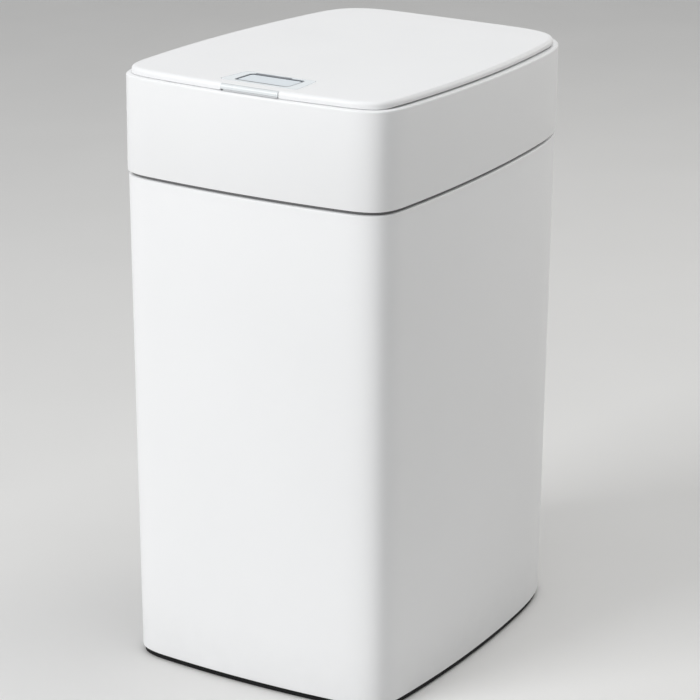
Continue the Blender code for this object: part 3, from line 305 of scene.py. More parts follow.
def bowed_plan(x, front, back, back_bulge, fronts, rears, rear_share):
    """Four bowed sides joined by conic corners, anticlockwise from the front left corner."""
    corners = [Vector(place) for place in ((-x - TAPER, -front), (x + TAPER, -front),
                                           (x - TAPER, back), (TAPER - x, back))]
    outwards = [Vector(way) for way in ((0, -1), (1, 0), (0, 1), (-1, 0))]
    bulges = [FRONT_BULGE, SIDE_BULGE, back_bulge, SIDE_BULGE]
    radii = [fronts, fronts, rears, rears]
    shares = [FRONT_SHARE, FRONT_SHARE, rear_share, rear_share]
    points = []
    for side in range(4):
        ahead, beyond = (side + 1) % 4, (side + 2) % 4
        start, end, last = corners[side], corners[ahead], corners[beyond]
        length = (end - start).length
        first, final = radii[side] / length, 1 - radii[ahead] / length
        for step in range(SIDE_STEPS + 1):
            share = first + (final - first) * step / SIDE_STEPS
            points.append(bowed_side(start, end, outwards[side], bulges[side], share)[0])
        leave, way_out = bowed_side(start, end, outwards[side], bulges[side], final)
        enter_share = radii[ahead] / (last - end).length
        enter, way_in = bowed_side(end, last, outwards[ahead], bulges[ahead], enter_share)
        cross = way_out.x * way_in.y - way_out.y * way_in.x
        gap = enter - leave
        peak = leave + way_out * ((gap.x * way_in.y - gap.y * way_in.x) / cross)
        weight = math.cos(way_out.angle(way_in) / 2) * shares[ahead]
        for step in range(1, CORNER_STEPS):
            t = step / CORNER_STEPS
            parts = ((1 - t) ** 2, 2 * weight * t * (1 - t), t ** 2)
            points.append((leave * parts[0] + peak * parts[1] + enter * parts[2]) / sum(parts))
    return points


def plan(inset=0.0, side_in=0.0, front_in=0.0):
    """The outline of the barrel and the head, inset all round and then along x and y."""
    y = CORNER_Y - inset - front_in
    return bowed_plan(CORNER_X - inset - side_in, y, y, FRONT_BULGE,
                      max(FRONT_RADIUS - inset, LEAST_RADIUS), max(REAR_RADIUS - inset, LEAST_RADIUS),
                      REAR_SHARE)


def lid_plan(inset):
    """The lid's outline: it follows the head's, but keeps clear of it at the back to swing."""
    return bowed_plan(CORNER_X - LID_SIDE_INSET - inset, CORNER_Y - LID_FRONT_INSET - inset,
                      LID_BACK - inset, LID_REAR_BULGE,
                      max(FRONT_RADIUS - LID_SIDE_INSET - inset, LEAST_RADIUS),
                      max(LID_REAR_RADIUS - inset, LEAST_RADIUS), LID_SHARE)


def keep_beyond(points, limit, sign):
    """The part of an outline beyond y = limit, towards +Y for sign 1 and towards -Y for sign -1."""
    kept = []
    for index, here in enumerate(points):
        last = points[index - 1]
        if (here.y - limit) * (last.y - limit) < 0:
            kept.append(last.lerp(here, (limit - last.y) / (here.y - last.y)))
        if sign * (here.y - limit) >= 0:
            kept.append(here)
    return kept


def band(inset, front, back):
    """An inset outline cut off straight at the front and at the back."""
    return keep_beyond(keep_beyond(plan(inset), front, 1), back, -1)


def rear_face(x):
    """How far back the head's outline is at x."""
    points = plan()
    for here, ahead in zip(points, points[1:]):
        if here.y > 0 and ahead.x < x <= here.x:
            return here.y + (ahead.y - here.y) * (x - here.x) / (ahead.x - here.x)
    return HALF_DEPTH


def rounded(points, radius, steps):
    """A closed outline of straight sides with a round corner at each point, anticlockwise."""
    outline = []
    for index, corner in enumerate(points):
        here = Vector(corner)
        back = (Vector(points[index - 1]) - here).normalized()
        ahead = (Vector(points[(index + 1) % len(points)]) - here).normalized()
        half = back.angle(ahead) / 2
        centre = here + (back + ahead).normalized() * (radius / math.sin(half))
        start = here + back * (radius / math.tan(half)) - centre
        for step in range(steps + 1):
            outline.append(centre + Matrix.Rotation((math.pi - 2 * half) * step / steps, 2) @ start)
    return outline


def rectangle(x, y, half_x, half_y, radius, steps=10):
    """A rounded rectangle seen from above."""
    return rounded([(x - half_x, y - half_y), (x + half_x, y - half_y), (x + half_x, y + half_y),
                    (x - half_x, y + half_y)], radius, steps)


def level(points, height):
    """Lift a flat outline to a height, which may be a function of y."""
    return [Vector((p.x, p.y, height(p.y) if callable(height) else height)) for p in points]


def rim_height(drop):
    """The head's tilted rim plane, lowered by a drop."""
    return lambda y: RIM_LEVEL - math.tan(RIM_TILT) * y - drop


def fillet(steps=FILLET_STEPS):
    """Pairs of shares, inwards and downwards, round a quarter circle from its side to its top."""
    turns = [math.pi / 2 * step / steps for step in range(steps + 1)]
    return [(1 - math.cos(turn), 1 - math.sin(turn)) for turn in turns]


def span(made, loops, closed=False):
    """Faces between a stack of vertex loops, closed in itself or capped at both ends."""
    pairs = list(zip(loops, loops[1:])) + ([(loops[-1], loops[0])] if closed else [])
    for low, high in pairs:
        for index in range(len(low)):
            ahead = (index + 1) % len(low)
            made.faces.new((low[index], low[ahead], high[ahead], high[index]))
    if not closed:
        made.faces.new(loops[0])
        made.faces.new(loops[-1])


def skin(rings, closed=False):
    """A bmesh through a stack of rings of points."""
    made = bmesh.new()
    span(made, [[made.verts.new(point) for point in ring] for ring in rings], closed)
    bmesh.ops.recalc_face_normals(made, faces=made.faces)
    return made


def prism(points, low, high):
    """A flat outline pulled straight up."""
    return skin([level(points, low), level(points, high)])


def side_prism(points, low_x, high_x):
    """An outline in the YZ plane pulled along X."""
    return skin([[Vector((x, p[0], p[1])) for p in points] for x in (low_x, high_x)])


def block(low, high):
    """A box between two corners."""
    (x0, y0, z0), (x1, y1, z1) = low, high
    return prism([Vector((x0, y0)), Vector((x1, y0)), Vector((x1, y1)), Vector((x0, y1))], z0, z1)


def turned(centre, profile, segments, along_x=False):
    """A profile of (radius, height) pairs turned about a vertical line, or a line along X."""
    rings = []
    for radius, height in profile:
        ring = []
        for index in range(segments):
            angle = 2 * math.pi * index / segments
            side, up = radius * math.cos(angle), radius * math.sin(angle)
            offset = (height, side, up) if along_x else (side, up, height)
            ring.append(Vector(centre) + Vector(offset))
        rings.append(ring)
    return skin(rings)


def raw(made, name="raw"):
    """An object for a bmesh, which is then freed."""
    mesh = bpy.data.meshes.new(name)
    made.to_mesh(mesh)
    made.free()
    piece = bpy.data.objects.new(name, mesh)
    bpy.context.scene.collection.objects.link(piece)
    return piece


def combine(piece, other, operation="DIFFERENCE"):
    """Cut a bmesh out of an object, or join it on, and drop it."""
    tool = raw(other, "tool")
    step = piece.modifiers.new("cut", "BOOLEAN")
    step.operation = operation
    step.object = tool
    step.solver = "EXACT"
    result = bpy.data.meshes.new_from_object(piece.evaluated_get(bpy.context.evaluated_depsgraph_get()))
    piece.modifiers.clear()
    old, piece.data = piece.data, result
    bpy.data.meshes.remove(old)
    bpy.data.objects.remove(tool)
    return piece


def dress(piece, name, body, nodes, material, bevel=0.0, segments=3, angle=38, place=None):
    """Finish a piece: name, place, edges, smooth shading, material, body and the node it stands for."""
    if isinstance(piece, bmesh.types.BMesh):
        piece = raw(piece)
    piece.name = name
    piece.data.name = name
    if place:
        piece.data.transform(place)
    made = bmesh.new()
    made.from_mesh(piece.data)
    bmesh.ops.remove_doubles(made, verts=made.verts, dist=0.000002)
    bmesh.ops.dissolve_degenerate(made, edges=made.edges, dist=0.000002)
    made.to_mesh(piece.data)
    made.free()
    piece.data.materials.clear()
    piece.data.materials.append(material)
    piece.data.shade_smooth()
    piece.data.set_sharp_from_angle(angle=math.radians(angle))
    if bevel:
        edges = piece.modifiers.new("edges", "BEVEL")
        edges.width = bevel
        edges.segments = segments
        edges.limit_method = "ANGLE"
        edges.angle_limit = math.radians(angle)
        edges.harden_normals = True
        edges.miter_outer = "MITER_ARC"
    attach(piece, body)
    if nodes:
        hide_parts(*nodes)
    return piece


def share_of(value, start, length):
    """How far a value is along a stretch, from 0 to 1."""
    return min(max((value - start) / length, 0.0), 1.0)


def make_barrel(shell, plinth_black, gasket_painted_shade):
    """The barrel, the black plinth below it and the soft ring in the seam, whose grey is painted shade of
    the seam.
    """
    def outline(height, inset):
        share = (BARREL_TOP - height) / (BARREL_TOP - BARREL_LOW)
        return level(plan(BARREL_INSET + inset, SIDE_DRAFT * share, FRONT_DRAFT * share), height)

    edge, lip, rim_depth, slope_depth = 0.0015, 0.0014, 0.0060, 0.0095
    rings = [outline(BARREL_LOW + edge * down, edge * inwards) for inwards, down in fillet()]
    rings.reverse()
    rings += [outline(height, 0) for height in (0.09, 0.18, 0.27)]
    rings += [outline(BARREL_TOP - lip * down, lip * inwards) for inwards, down in fillet()]
    rings += [outline(BARREL_TOP, BARREL_RIM), outline(BARREL_TOP - rim_depth, BARREL_RIM),
              outline(BARREL_TOP - slope_depth, BARREL_WALL), outline(BARREL_LOW, BARREL_WALL)]
    dress(skin(rings, closed=True), "barrel_shell", "barrel", ["outer_barrel"], shell)

    # The plinth: a tray whose skirt comes close to the floor, with an upstand inside the barrel
    tray_low, tray_top, skirt_low, skirt_edge = 0.0010, 0.0035, 0.0003, 0.0008
    shelf, upstand_top = BARREL_LOW - CLEAR, 0.0162
    skirt_out, skirt_in, upstand_out, upstand_in = 0.0014, 0.0040, 0.0028, 0.0048
    rings = [level(plan(BARREL_INSET + inset, SIDE_DRAFT, FRONT_DRAFT), height) for height, inset in (
        (tray_low, skirt_in + 0.0004), (skirt_low, skirt_in), (skirt_low, skirt_out + 0.0006),
        (skirt_edge, skirt_out), (shelf, skirt_out), (shelf, upstand_out), (upstand_top, upstand_out),
        (upstand_top, upstand_in), (tray_top, upstand_in))]
    dress(skin(rings), "base_tray", "barrel", ["base_plinth"], plinth_black, bevel=0.0003)

    # The ring's mid grey is painted shade: it darkens the seam line where the head hides the light
    low, high, face = BARREL_TOP + CLEAR, HEAD_LOW - CLEAR, BARREL_INSET + 0.0018
    chamfer, thick = 0.0004, 0.0022
    rings = [level(plan(inset), height) for height, inset in (
        (low, face + chamfer), (low + chamfer, face), (high - chamfer, face), (high, face + chamfer),
        (high, face + thick), (low, face + thick))]
    dress(skin(rings, closed=True), "seam_ring", "barrel", ["seam_gasket"], gasket_painted_shade)


def make_head(shell, spigot_plastic):
    """The head's shell with its rounded tilted rim, and the ring that drops into the barrel."""
    edge, edge_step = 0.0006, 0.0002
    rings = [level(plan(edge), HEAD_LOW), level(plan(edge_step), HEAD_LOW + edge_step),
             level(plan(), HEAD_LOW + edge)]
    for inwards, down in fillet(8):
        rings.append(level(plan(RIM_RADIUS * inwards), rim_height(RIM_RADIUS * down)))
    # The mouth's flange is wide in front, narrow beside the hinge and follows the lid behind it
    mouth, lid_gap = [], 0.0020
    widening, closing = (HINGE_Y - 0.0180, 0.0120), (HINGE_Y + 0.0070, 0.0110)
    for front, rear, ledge in zip(plan(RIM_FLANGE), plan(REAR_FLANGE), lid_plan(-lid_gap)):
        side = front.lerp(rear, share_of(front.y, *widening))
        mouth.append(side.lerp(ledge, share_of(side.y, *closing)))
    inner, thick, lip_inset = plan(SHELL_WALL), 0.0026, 0.0068
    rings += [level(mouth, rim_height(0.0)), level(mouth, rim_height(thick)),
              level(inner, rim_height(thick)), level(inner, HEAD_LOW + HEAD_LIP),
              level(plan(lip_inset), HEAD_LOW + HEAD_LIP), level(plan(lip_inset), HEAD_LOW)]
    piece = raw(skin(rings, closed=True))
    door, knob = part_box("battery_door"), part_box("switch_knob")
    fit = 0.0004
    combine(piece, block((door[0].x - fit, HINGE_Y, door[0].z - fit),
                         (door[1].x + fit, HALF_DEPTH + OVER, door[1].z + fit)))
    middle = (knob[0].z + knob[1].z) / 2
    combine(piece, block((SWITCH_LEFT - fit, HINGE_Y, middle - SWITCH_HALF - fit),
                         (SWITCH_SLOT_RIGHT + fit, HALF_DEPTH + OVER, middle + SWITCH_HALF + fit)))
    dress(piece, "head_cover", "head", ["head_shell"], shell, angle=32)

    low, ledge = BARREL_TOP - 0.0160, HEAD_LOW + HEAD_LIP + CLEAR
    outer, inside, flange, lead_in, thick = 0.0075, 0.0095, 0.0035, 0.0008, 0.0020
    rings = [level(plan(inset), height) for height, inset in (
        (low, outer + lead_in), (low + thick, outer), (ledge, outer), (ledge, outer - flange),
        (ledge + thick, outer - flange), (ledge + thick, inside), (low, inside))]
    dress(skin(rings, closed=True), "locating_ring", "head", ["spigot_ring"],
          spigot_plastic, bevel=0.0003)


def make_deck(plastic):
    """The deck under the lid: two mouths with rounded edges, their chutes, and the screw posts."""
    piece = raw(prism(plan(SHELL_WALL + CLEAR), DECK_LOW, DECK_TOP))
    bridge, side_margin = 0.0170, 0.0177
    front, back = 0.0255 - HALF_DEPTH, BRUSH_Y - BRUSH_MOUTH_Y - bridge
    wall, join, lip = 0.0018, DECK_TOP - 0.0012, 0.0016
    mouths = ((((front + back) / 2, CORNER_X - side_margin, (back - front) / 2, 0.0180), 0.0590),
              ((BRUSH_Y, BRUSH_MOUTH_X, BRUSH_MOUTH_Y, 0.0260), 0.0550))

    def mouth(shape, grow, height):
        y, half_x, half_y, radius = shape
        return level(rectangle(0, y, half_x + grow, half_y + grow, radius + grow, 14), height)

    for shape, depth in mouths:
        combine(piece, skin([mouth(shape, wall, DECK_TOP - depth), mouth(shape, wall, join)]), "UNION")
    post, post_low = 0.0040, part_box("service_plate")[1].z + CLEAR
    post_x, post_y = CORNER_X - 0.0255, HUMP_FRONT + 0.0060
    for sign in (-1, 1):
        combine(piece, turned((sign * post_x, post_y, 0), [(post, post_low), (post, join)], 32), "UNION")

    # Each mouth is cut right through, with a rounded upper edge, and then the room for the motor
    for shape, depth in mouths:
        rings = [mouth(shape, 0, DECK_TOP - depth - OVER)]
        rings += [mouth(shape, lip * inwards, DECK_TOP - lip * down) for inwards, down in fillet()]
        rings.append(mouth(shape, lip, DECK_TOP + OVER))
        combine(piece, skin(rings))
    motor, gap, motor_left, motor_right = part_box("gearbox_case"), 0.0005, -0.0560, 0.0290
    combine(piece, block((motor_left, motor[0].y - gap, DECK_LOW - OVER),
                         (motor_right, motor[1].y + gap, DECK_TOP + OVER)))
    dress(piece, "deck_plate", "head", ["head_deck"], plastic, angle=30)


def make_cover(plastic, steel):
    """The cover over the motor, notched for the hinge, and its two cross-head screws."""
    low, top, back = DECK_TOP + CLEAR, HINGE_Z - 0.0002, HINGE_Y - CLEAR
    inset, wall = 0.0180, 0.0015
    notch_near, notch_far, notch_depth = 0.0395, 0.0655, 0.0185
    piece = raw(prism(band(inset, HUMP_FRONT, back), low, top))
    combine(piece, prism(band(inset + wall, HUMP_FRONT + wall, back - wall), low - OVER, top - wall))
    for sign in (-1, 1):
        near, far = sorted((sign * notch_near, sign * notch_far))
        combine(piece, block((near, HINGE_Y - notch_depth, low - OVER),
                             (far, HINGE_Y + OVER, top + OVER)))
    dress(piece, "motor_cover", "head", ["rear_cover"], plastic, bevel=0.0006)

    # Shares of a screw head's radius and height, and its cross-shaped recess
    dome = ((0.94, 0), (1, 0.15), (1, 0.45), (0.90, 0.72), (0.66, 0.92), (0.35, 1))
    cross_share, cross_half, cross_floor = 0.62, 0.0003, 0.4
    for side in ("left", "right"):
        low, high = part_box(f"cover_screw_{side}")
        x, y, radius = (low.x + high.x) / 2, (low.y + high.y) / 2, (high.x - low.x) / 2
        tall, reach = high.z - low.z, radius * cross_share
        head = raw(turned((x, y, low.z), [(radius * out, tall * up) for out, up in dome], 40))
        for long, wide in ((reach, cross_half), (cross_half, reach)):
            combine(head, block((x - long, y - wide, low.z + tall * cross_floor),
                                (x + long, y + wide, high.z + OVER)))
        dress(head, f"screw_head_{side}", "head", [f"cover_screw_{side}"], steel)


def make_bucket(plastic, ring_plastic):
    """The waste bucket with its finger slots, and the ring that holds a bag on it."""
    low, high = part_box("inner_bucket")
    flange, wall, curve, floor, draft = 0.0035, 0.0020, 0.0040, 0.0025, 0.0030
    brim, chamfer, edge = 0.0020, 0.0004, 0.0005
    half_x, y = high.x - flange, (low.y + high.y) / 2
    half_y = (high.y - low.y) / 2 - flange

    def ring(height, inset):
        reach = inset + draft * (high.z - height) / (high.z - low.z)
        return level(rectangle(0, y, half_x - reach, half_y - reach, BUCKET_RADIUS - inset, 14), height)

    rings = [ring(low.z + curve * down, curve * inwards) for inwards, down in reversed(fillet())]
    rings += [ring(high.z - brim, 0), ring(high.z - brim, chamfer - flange),
              ring(high.z - (brim - chamfer), -flange), ring(high.z - edge, -flange),
              ring(high.z, edge - flange), ring(high.z, wall - edge), ring(high.z - edge, wall)]
    rings += [ring(low.z + floor + curve * down, wall + curve * inwards) for inwards, down in fillet()]
    piece = raw(skin(rings))
    slot_drop, slot_half_y, slot_half_z, slot_radius = 0.0160, 0.0350, 0.0085, 0.0076
    middle, reach = high.z - slot_drop - slot_half_z, high.x + OVER
    combine(piece, side_prism(rectangle(y, middle, slot_half_y, slot_half_z, slot_radius, 12),
                              -reach, reach))
    dress(piece, "waste_pail", "barrel", ["inner_bucket"], plastic, angle=32)

    low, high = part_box("bag_ring")
    lip, chamfer, inside = 0.0012, 0.0003, 0.0040

    def hoop(height, inset):
        return level(rectangle(0, y, half_x - inset, half_y - inset, BUCKET_RADIUS - inset, 14), height)

    rings = [hoop(low.z, chamfer - flange), hoop(low.z + chamfer, -flange)]
    rings += [hoop(high.z - lip * down, lip * inwards - flange) for inwards, down in fillet()]
    rings += [hoop(high.z - lip * down, inside - lip * inwards) for inwards, down in reversed(fillet())]
    rings.append(hoop(low.z, inside))
    dress(skin(rings, closed=True), "bag_hoop", "barrel", ["bag_ring"], ring_plastic)


def make_brush_cell(plastic, clear_plastic):
    """The deep cell behind the bucket, and the drip cup in it."""
    half_x, half_y, radius, curve = 0.0420, 0.0290, 0.0270, 0.0016

    def stadium(height, inset):
        return level(rectangle(0, BRUSH_Y, half_x - inset, half_y - inset, radius - inset, 16), height)

    for name, node, outer, wall, floor, slot, material in (
            ("brush_well", "brush_cell", -0.0020, 0.0020, 0.0020, "light_grey", plastic),
            ("drip_tray", "brush_cup", 0.0005, 0.0016, 0.0016, "frosted", clear_plastic)):
        low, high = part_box(node)
        inner, lip = outer + wall, wall / 2
        rings = [stadium(low.z + curve * down, outer + curve * inwards)
                 for inwards, down in reversed(fillet())]
        rings += [stadium(high.z - lip * down, outer + lip * inwards) for inwards, down in fillet()]
        rings += [stadium(high.z - lip * down, inner - lip * inwards)
                  for inwards, down in reversed(fillet())][1:]
        rings += [stadium(low.z + floor + curve * down, inner + curve * inwards)
                  for inwards, down in fillet()]
        dress(skin(rings), name, "barrel", [node], material)


def make_brush(soft, steel, plastic, guard_plastic):
    """The brush: a soft head with rows of small nubs, a stem, a splash guard and a grip."""
    low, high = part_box("brush_head")
    half_x, half_y, radius, curve, neck_radius = 0.0290, 0.0140, 0.0120, 0.0050, 0.0070
    top = high.z - 0.0100

    def core(height, inset):
        return level(rectangle(0, BRUSH_Y, half_x - inset, half_y - inset, radius - inset, 8), height)

    rings = [core(low.z + curve * down, curve * inwards) for inwards, down in reversed(fillet())]
    rings += [core(top - curve * down, curve * inwards) for inwards, down in fillet()]
    neck = []
    for point in rings[-1]:
        way = Vector((point.x, point.y - BRUSH_Y)).normalized() * neck_radius
        neck.append(Vector((way.x, BRUSH_Y + way.y, high.z)))
    made = skin(rings + [neck])

    # Rows of nubs, evenly spaced along the outline, each row half a step on from the last
    rows, spots, sides, margin, long, root_depth = 15, 26, 7, 0.0075, 0.0058, 0.0006
    outline = rectangle(0, BRUSH_Y, half_x, half_y, radius, 8)
    lengths = [(outline[i - 1] - outline[i]).length for i in range(len(outline))]
    around = sum(lengths)
    for row in range(rows):
        height = low.z + margin + (top - low.z - 2 * margin) * row / (rows - 1)
        for spot in range(spots):
            target = around * (spot + 0.5 * (row % 2)) / spots
            index = 0
            while target > lengths[(index + 1) % len(outline)]:
                target -= lengths[(index + 1) % len(outline)]
                index += 1
            here, ahead = outline[index % len(outline)], outline[(index + 1) % len(outline)]
            travel = (ahead - here).normalized()
            foot = here + travel * target
            out = Vector((travel.y, -travel.x, 0))
            root = Vector((foot.x, foot.y, height)) - out * root_depth
            across, up = Vector((travel.x, travel.y, 0)), Vector((0, 0, 1))
            loops = []
            for share, thick in ((0, 0.0013), (0.55, 0.0010), (0.90, 0.0008), (1.0, 0.0004)):
                centre = root + out * ((long + root_depth) * share)
                loops.append([made.verts.new(centre + across * (thick * math.cos(2 * math.pi * k / sides))
                                             + up * (thick * math.sin(2 * math.pi * k / sides)))
                              for k in range(sides)])
            span(made, loops)
    bmesh.ops.recalc_face_normals(made, faces=made.faces)
    dress(made, "nub_head", "barrel", ["brush_head"], soft, angle=50)

    low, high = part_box("brush_stem")
    stem, chamfer = 0.0050, 0.0004
    dress(turned((0, BRUSH_Y, 0), [(stem - chamfer, low.z), (stem, low.z + chamfer),
                                   (stem, high.z - chamfer), (stem - chamfer, high.z)], 48),
          "steel_stem", "barrel", ["brush_stem"], steel)

    low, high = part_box("brush_handle")
    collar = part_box("brush_guard")[0].z - CLEAR
    grip, knob, curve, dip = 0.0085, 0.0107, 0.0030, 0.0007
    foot, waist, steps = low.z + curve, collar - 0.0095, 12
    profile = [(0.0064, low.z), (0.0070, low.z + 0.0005), (grip, foot)]
    for step in range(1, steps):
        share = step / steps
        profile.append((grip - dip * math.sin(math.pi * share), foot + (waist - low.z - curve) * share))
    profile += [(grip, waist), (0.0093, waist + 0.0022), (0.0116, waist + 0.0055),
                (0.0130, collar - 0.0010), (0.0132, collar - 0.0003), (0.0130, collar),
                (knob, collar), (knob, high.z - curve)]
    profile += [(knob - 2 * curve * inwards, high.z - curve * down) for inwards, down in fillet(8)][1:]
    dress(turned((0, BRUSH_Y, 0), profile, 64), "brush_grip", "barrel", ["brush_handle"],
          plastic)

    low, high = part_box("brush_guard")
    corner, hole = 0.0242, 0.0110
    guard = raw(prism(rectangle(0, BRUSH_Y, high.x, (high.y - low.y) / 2, corner, 16), low.z, high.z))
    combine(guard, turned((0, BRUSH_Y, 0), [(hole, low.z - OVER), (hole, high.z + OVER)], 64))
    dress(guard, "splash_guard", "barrel", ["brush_guard"], guard_plastic, bevel=0.0009)


def make_drive(case_plastic, can_steel):
    """The gearbox and the motor can, with stepped and rounded ends."""
    for name, node, slot, material in (("gear_case", "gearbox_case", "black", case_plastic),
                                       ("motor_can", "drive_motor", "steel", can_steel)):
        low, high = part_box(node)
        centre = (0, (low.y + high.y) / 2, (low.z + high.z) / 2)
        radius, long = (high.z - low.z) / 2, high.x - low.x
        profile = [(radius * 0.93, low.x), (radius, low.x + 0.0007)]
        if node == "gearbox_case":
            waist = radius - 0.0004
            profile += [(out, low.x + long * share) for out, share in (
                (radius, 0.30), (waist, 0.34), (waist, 0.64), (radius, 0.68))]
            profile += [(radius, high.x - 0.0005), (radius * 0.96, high.x)]
        else:
            body = high.x - 0.0020
            profile += [(radius, body - 0.0016), (radius * 0.93, body - 0.0004), (radius * 0.86, body),
                        (radius * 0.36, body), (radius * 0.33, body + 0.0003),
                        (radius * 0.33, high.x - 0.0003), (radius * 0.28, high.x)]
        dress(turned(centre, profile, 56, along_x=True), name, "head", [node], material)


def make_electronics(board_green, chip_black, steel):
    """The circuit board with its chips, cans and plug, standing before the battery box."""
    low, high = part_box("circuit_board")
    face = high.y - 0.0016
    dress(block((low.x, face, low.z), high), "main_board", "head",
          ["circuit_board"], board_green, bevel=0.0002, segments=1)
    made = bmesh.new()
    for x, z, wide, tall, deep in ((-0.0060, 0.0130, 0.0090, 0.0090, 0.0014),
                                   (0.0080, 0.0165, 0.0050, 0.0040, 0.0012),
                                   (0.0135, 0.0075, 0.0046, 0.0060, 0.0036),
                                   (-0.0150, 0.0065, 0.0030, 0.0022, 0.0010),
                                   (0.0020, 0.0050, 0.0026, 0.0020, 0.0010)):
        part = block((x - wide / 2, face - deep, low.z + z - tall / 2),
                     (x + wide / 2, face, low.z + z + tall / 2))
        mesh = bpy.data.meshes.new("part")
        part.to_mesh(mesh)
        part.free()
        made.from_mesh(mesh)
        bpy.data.meshes.remove(mesh)
    dress(made, "board_chips", "head", [], chip_black, bevel=0.0002, segments=2)
    for index, (x, z) in enumerate(((-0.0150, 0.0160), (0.0035, 0.0155))):
        can = turned((0, 0, 0), [(0.0019, 0), (0.0021, 0.0002), (0.0021, 0.0032), (0.0018, 0.0035)], 28)
        turn = Matrix.Translation((x, face, low.z + z)) @ Matrix.Rotation(math.pi / 2, 4, "X")
        dress(can, f"board_can_{index + 1}", "head", [], steel, place=turn)


def make_door_and_switch(shell, black):
    """The battery door with three finger grooves, and the ribbed power switch."""
    low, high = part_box("battery_door")
    steps = 40
    places = [high.x - (high.x - low.x) * step / steps for step in range(steps + 1)]
    outer = [Vector((x, rear_face(x))) for x in places]
    inner = [Vector((p.x, p.y - SHELL_WALL)) for p in reversed(outer)]
    door = raw(prism(outer + inner, low.z, high.z))
    pitch, reach, deep, half = 0.0024, 0.0110, 0.0006, 0.0005
    for row in (-1, 0, 1):
        z = (low.z + high.z) / 2 + pitch * row
        combine(door, block((-reach, HALF_DEPTH - deep, z - half), (reach, HALF_DEPTH + OVER, z + half)))
    dress(door, "battery_hatch", "battery_door", ["battery_door"], shell, bevel=0.0003,
          segments=2)

    low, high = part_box("switch_knob")
    middle = (low.z + high.z) / 2
    plate, deep, half = 0.0014, 0.0004, 0.0003
    knob = raw(block((SWITCH_LEFT, low.y, middle - SWITCH_HALF),
                     (SWITCH_RIGHT, high.y, middle + SWITCH_HALF)))
    combine(knob, block(low, (high.x, low.y + plate, high.z)), "UNION")
    for x in (0.0284, 0.0300, 0.0316):
        combine(knob, block((x - half, high.y - deep, low.z - OVER),
                            (x + half, high.y + OVER, high.z + OVER)))
    dress(knob, "slide_switch", "switch_knob", ["switch_knob"], black, bevel=0.0002,
          segments=2)


def inlay(grow):
    """The sensor inlay from above in the lid's own frame, wider at the front."""
    front, back = INLAY_FRONT - grow, INLAY_FRONT + INLAY_DEPTH + grow
    wide, narrow = INLAY_WIDE + grow, INLAY_NARROW + grow
    return rounded([(SENSOR_X - wide, front), (SENSOR_X + wide, front), (SENSOR_X + narrow, back),
                    (SENSOR_X - narrow, back)], INLAY_RADIUS, 12)


